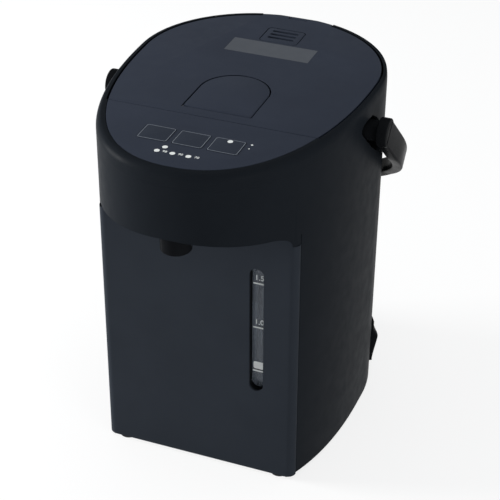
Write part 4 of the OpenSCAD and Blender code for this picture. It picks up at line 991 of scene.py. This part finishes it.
# %% Other finishes
def metal(name, tone, rough, stretch=(1, 1, 1), size=0.4, depth=0.004):
    f = Finish(name)
    lines = f.noise(size, 3.0, stretch)
    finishes[name] = f.surface(
        Base_Color=f.blend(f.noise(25, 2.0), shaded(tone, 0.9), tone), Metallic=1.0,
        Roughness=f.spread(lines, rough - 0.06, rough + 0.08), Normal=f.relief(lines, depth, 0.15))


def soft(name, tone, rough, grain, depth, shine=0.3):
    f = Finish(name)
    fibres = f.noise(grain, 4.0)
    finishes[name] = f.surface(
        Base_Color=f.blend(f.noise(grain * 8, 3.0), shaded(tone, 0.82), tone),
        Roughness=f.spread(fibres, rough - 0.08, rough + 0.08), Specular_IOR_Level=shine,
        Normal=f.relief(fibres, depth, 0.2))


metal("steel", colour(196, 197, 199), 0.3, stretch=(1, 1, 40), size=0.25)
metal("pin_steel", colour(200, 200, 203), 0.25, stretch=(30, 1, 1), size=0.2)
metal("motor_can", colour(176, 176, 180), 0.35)
metal("heater_alloy", colour(190, 186, 180), 0.5, size=1.2, depth=0.02)
metal("contact_brass", colour(206, 176, 108), 0.28, stretch=(20, 1, 1), size=0.2)
soft("silicone", colour(212, 211, 204), 0.55, grain=1.5, depth=0.01)
soft("rubber_black", colour(24, 24, 25), 0.7, grain=0.8, depth=0.03, shine=0.2)
soft("felt", colour(208, 201, 184), 0.9, grain=0.5, depth=0.25, shine=0.1)
soft("wire_red", colour(170, 44, 36), 0.5, grain=1.5, depth=0.01)
print("with metals, rubber and felt:", len(finishes))

# %% [markdown]
# ## The gauge window
# The window and the sight tube are clear plastic with a hint of blue. Faint upright streaks from moulding vary
# their gloss and relief, and along the same streaks the colour is lighter and less clear: painted upright
# reflections. A glass shader could bend the light, but a thin window barely does, so a partly clear surface is
# enough.

# %% Clear finish
f = Finish("gauge_clear")
# Painted reflection: the upright streaks make the window's colour lighter and less clear in stripes that stand
# in for reflected light; they also vary its gloss and relief.
streak_and_painted_reflection = f.noise(2.2, 2.0, (1, 1, 30))
tint_with_painted_reflections = f.blend(streak_and_painted_reflection, colour(92, 99, 109), colour(128, 135, 145))
finishes["gauge_clear"] = f.surface(
    Base_Color=tint_with_painted_reflections, Roughness=f.spread(streak_and_painted_reflection, 0.18, 0.3), Specular_IOR_Level=0.35,
    Alpha=f.spread(streak_and_painted_reflection, 0.42, 0.6), Normal=f.relief(streak_and_painted_reflection, 0.02, 0.2))
print("made", finishes["gauge_clear"].name)

# %% [markdown]
# ## Dressing
# The rebuilt skins carry the name of their finish. The other solids take the finish of their slot in the
# record, so a piece that changes its slot there changes its looks here, without a second list.

# %% Give every piece its finish
def dressed(obj, finish_name):
    obj.data.materials.clear()
    obj.data.materials.append(finishes[finish_name])


slot_of = {row["node"]: row["material_slot"] for row in frame["record"]["subparts"]}
for name, solid in nodes.items():
    dressed(solid, slot_of[name])
for obj in bpy.data.objects:
    if obj.type == "MESH" and "finish" in obj:
        dressed(obj, obj["finish"])
print("finishes:", len(finishes))

# %% [markdown]
# ## The table
# The pot stands on a plain white table that runs off into white. A plane that glows for everything would
# light the pot from below. This one is matt for the light and mostly glows for the camera and in reflections.

# %% Stage
def studio_white():
    f = Finish("sweep")
    rays = ("Is Camera Ray", "Is Glossy Ray", "Is Transmission Ray")
    camera_ray, glossy_ray, clear_ray = [f.node("ShaderNodeLightPath", out=kind) for kind in rays]
    glow = f.node("ShaderNodeEmission", {}, {"Color": (1, 1, 1), "Strength": 1.0})
    base = f.blend(f.noise(400, 2.0), (0.86, 0.86, 0.86), (0.9, 0.9, 0.9))
    matt_values = {"Base Color": base, "Roughness": 0.9, "Specular IOR Level": 0.1}
    matt = f.node("ShaderNodeBsdfPrincipled", {}, matt_values)
    share = (camera_ray + glossy_ray + clear_ray) * 0.8
    f.plug(f.end.inputs["Surface"], f.node("ShaderNodeMixShader", {}, {0: share, 1: matt, 2: glow}))
    return f.material


table_w, table_r, table_t = 12000, 400, 0.6
sweep = moved(slab("sweep", rounded_rect(table_w, table_w, table_r), -table_t, 0), at(0, 0, -0.05))
sweep.data.materials.append(studio_white())
print("table", table_w * mm, "m wide")

# %% [markdown]
# ## The light
# An even sky fills the shadows. A window low on the left models the round head, a weaker one on the right
# lifts the flat front, and a third light hangs above, so that the dark plastic stays readable. Points of
# light would be simpler, but only broad lights draw the long soft glows that show how a dark surface bends.

# %% Sky and lamps
world = bpy.data.worlds.new("studio")
bpy.context.scene.world = world
world.use_nodes = True
tree = world.node_tree
tree.nodes.clear()
sky, end = tree.nodes.new("ShaderNodeBackground"), tree.nodes.new("ShaderNodeOutputWorld")
sky.inputs["Color"].default_value, sky.inputs["Strength"].default_value = (0.93, 0.97, 1.0, 1), 0.45
tree.links.new(sky.outputs[0], end.inputs["Surface"])


def lamp(name, spot, size, watts, aim=(0, 0, 0.15)):
    """A square light at a spot in metres that faces the middle of the pot."""
    data = bpy.data.lights.new(name, "AREA")
    data.shape, data.size, data.energy = "SQUARE", size, watts
    obj = in_scene(name, data)
    obj.location = spot
    obj.rotation_euler = (Vector(aim) - Vector(spot)).to_track_quat("-Z", "Y").to_euler()
    print("lamp", name, watts, "W")


lamp("left_window", (-1.55, -0.35, 0.4), 0.6, 52)
lamp("right_window", (1.5, -0.9, 0.35), 0.9, 14)
lamp("overhead", (0.1, 0.2, 1.7), 1.4, 9)

# %% [markdown]
# ## The camera
# The camera looks down on the front from the right, through a long lens that keeps the upright edges almost
# parallel. It could be turned by hand. Two angles and a distance from a target place it here, and the roll
# turns the picture about its middle.

# %% Camera
azimuth, elevation, roll = math.radians(21.24), math.radians(32.45), math.radians(0.22)
target, distance = Vector((0, 0.0132, 0.1243)), 1.2278
toward = Vector((math.sin(azimuth) * math.cos(elevation), -math.cos(azimuth) * math.cos(elevation),
                 math.sin(elevation)))
level = Vector((math.cos(azimuth), math.sin(azimuth), 0))
upward = toward.cross(level)
right = level * math.cos(roll) + upward * math.sin(roll)
up = upward * math.cos(roll) - level * math.sin(roll)
lens = bpy.data.cameras.new("camera")
lens.lens, lens.sensor_width, lens.clip_end = 115.2, 36, 50
camera = in_scene("camera", lens)
turning = Matrix((right, up, toward)).transposed().to_4x4()
camera.matrix_world = Matrix.Translation(target + toward * distance) @ turning
bpy.context.scene.camera = camera
bpy.context.scene.view_settings.view_transform = "Standard"
print("camera at", [round(c, 3) for c in camera.matrix_world.translation])

# %% Finish
bpy.context.view_layer.update()
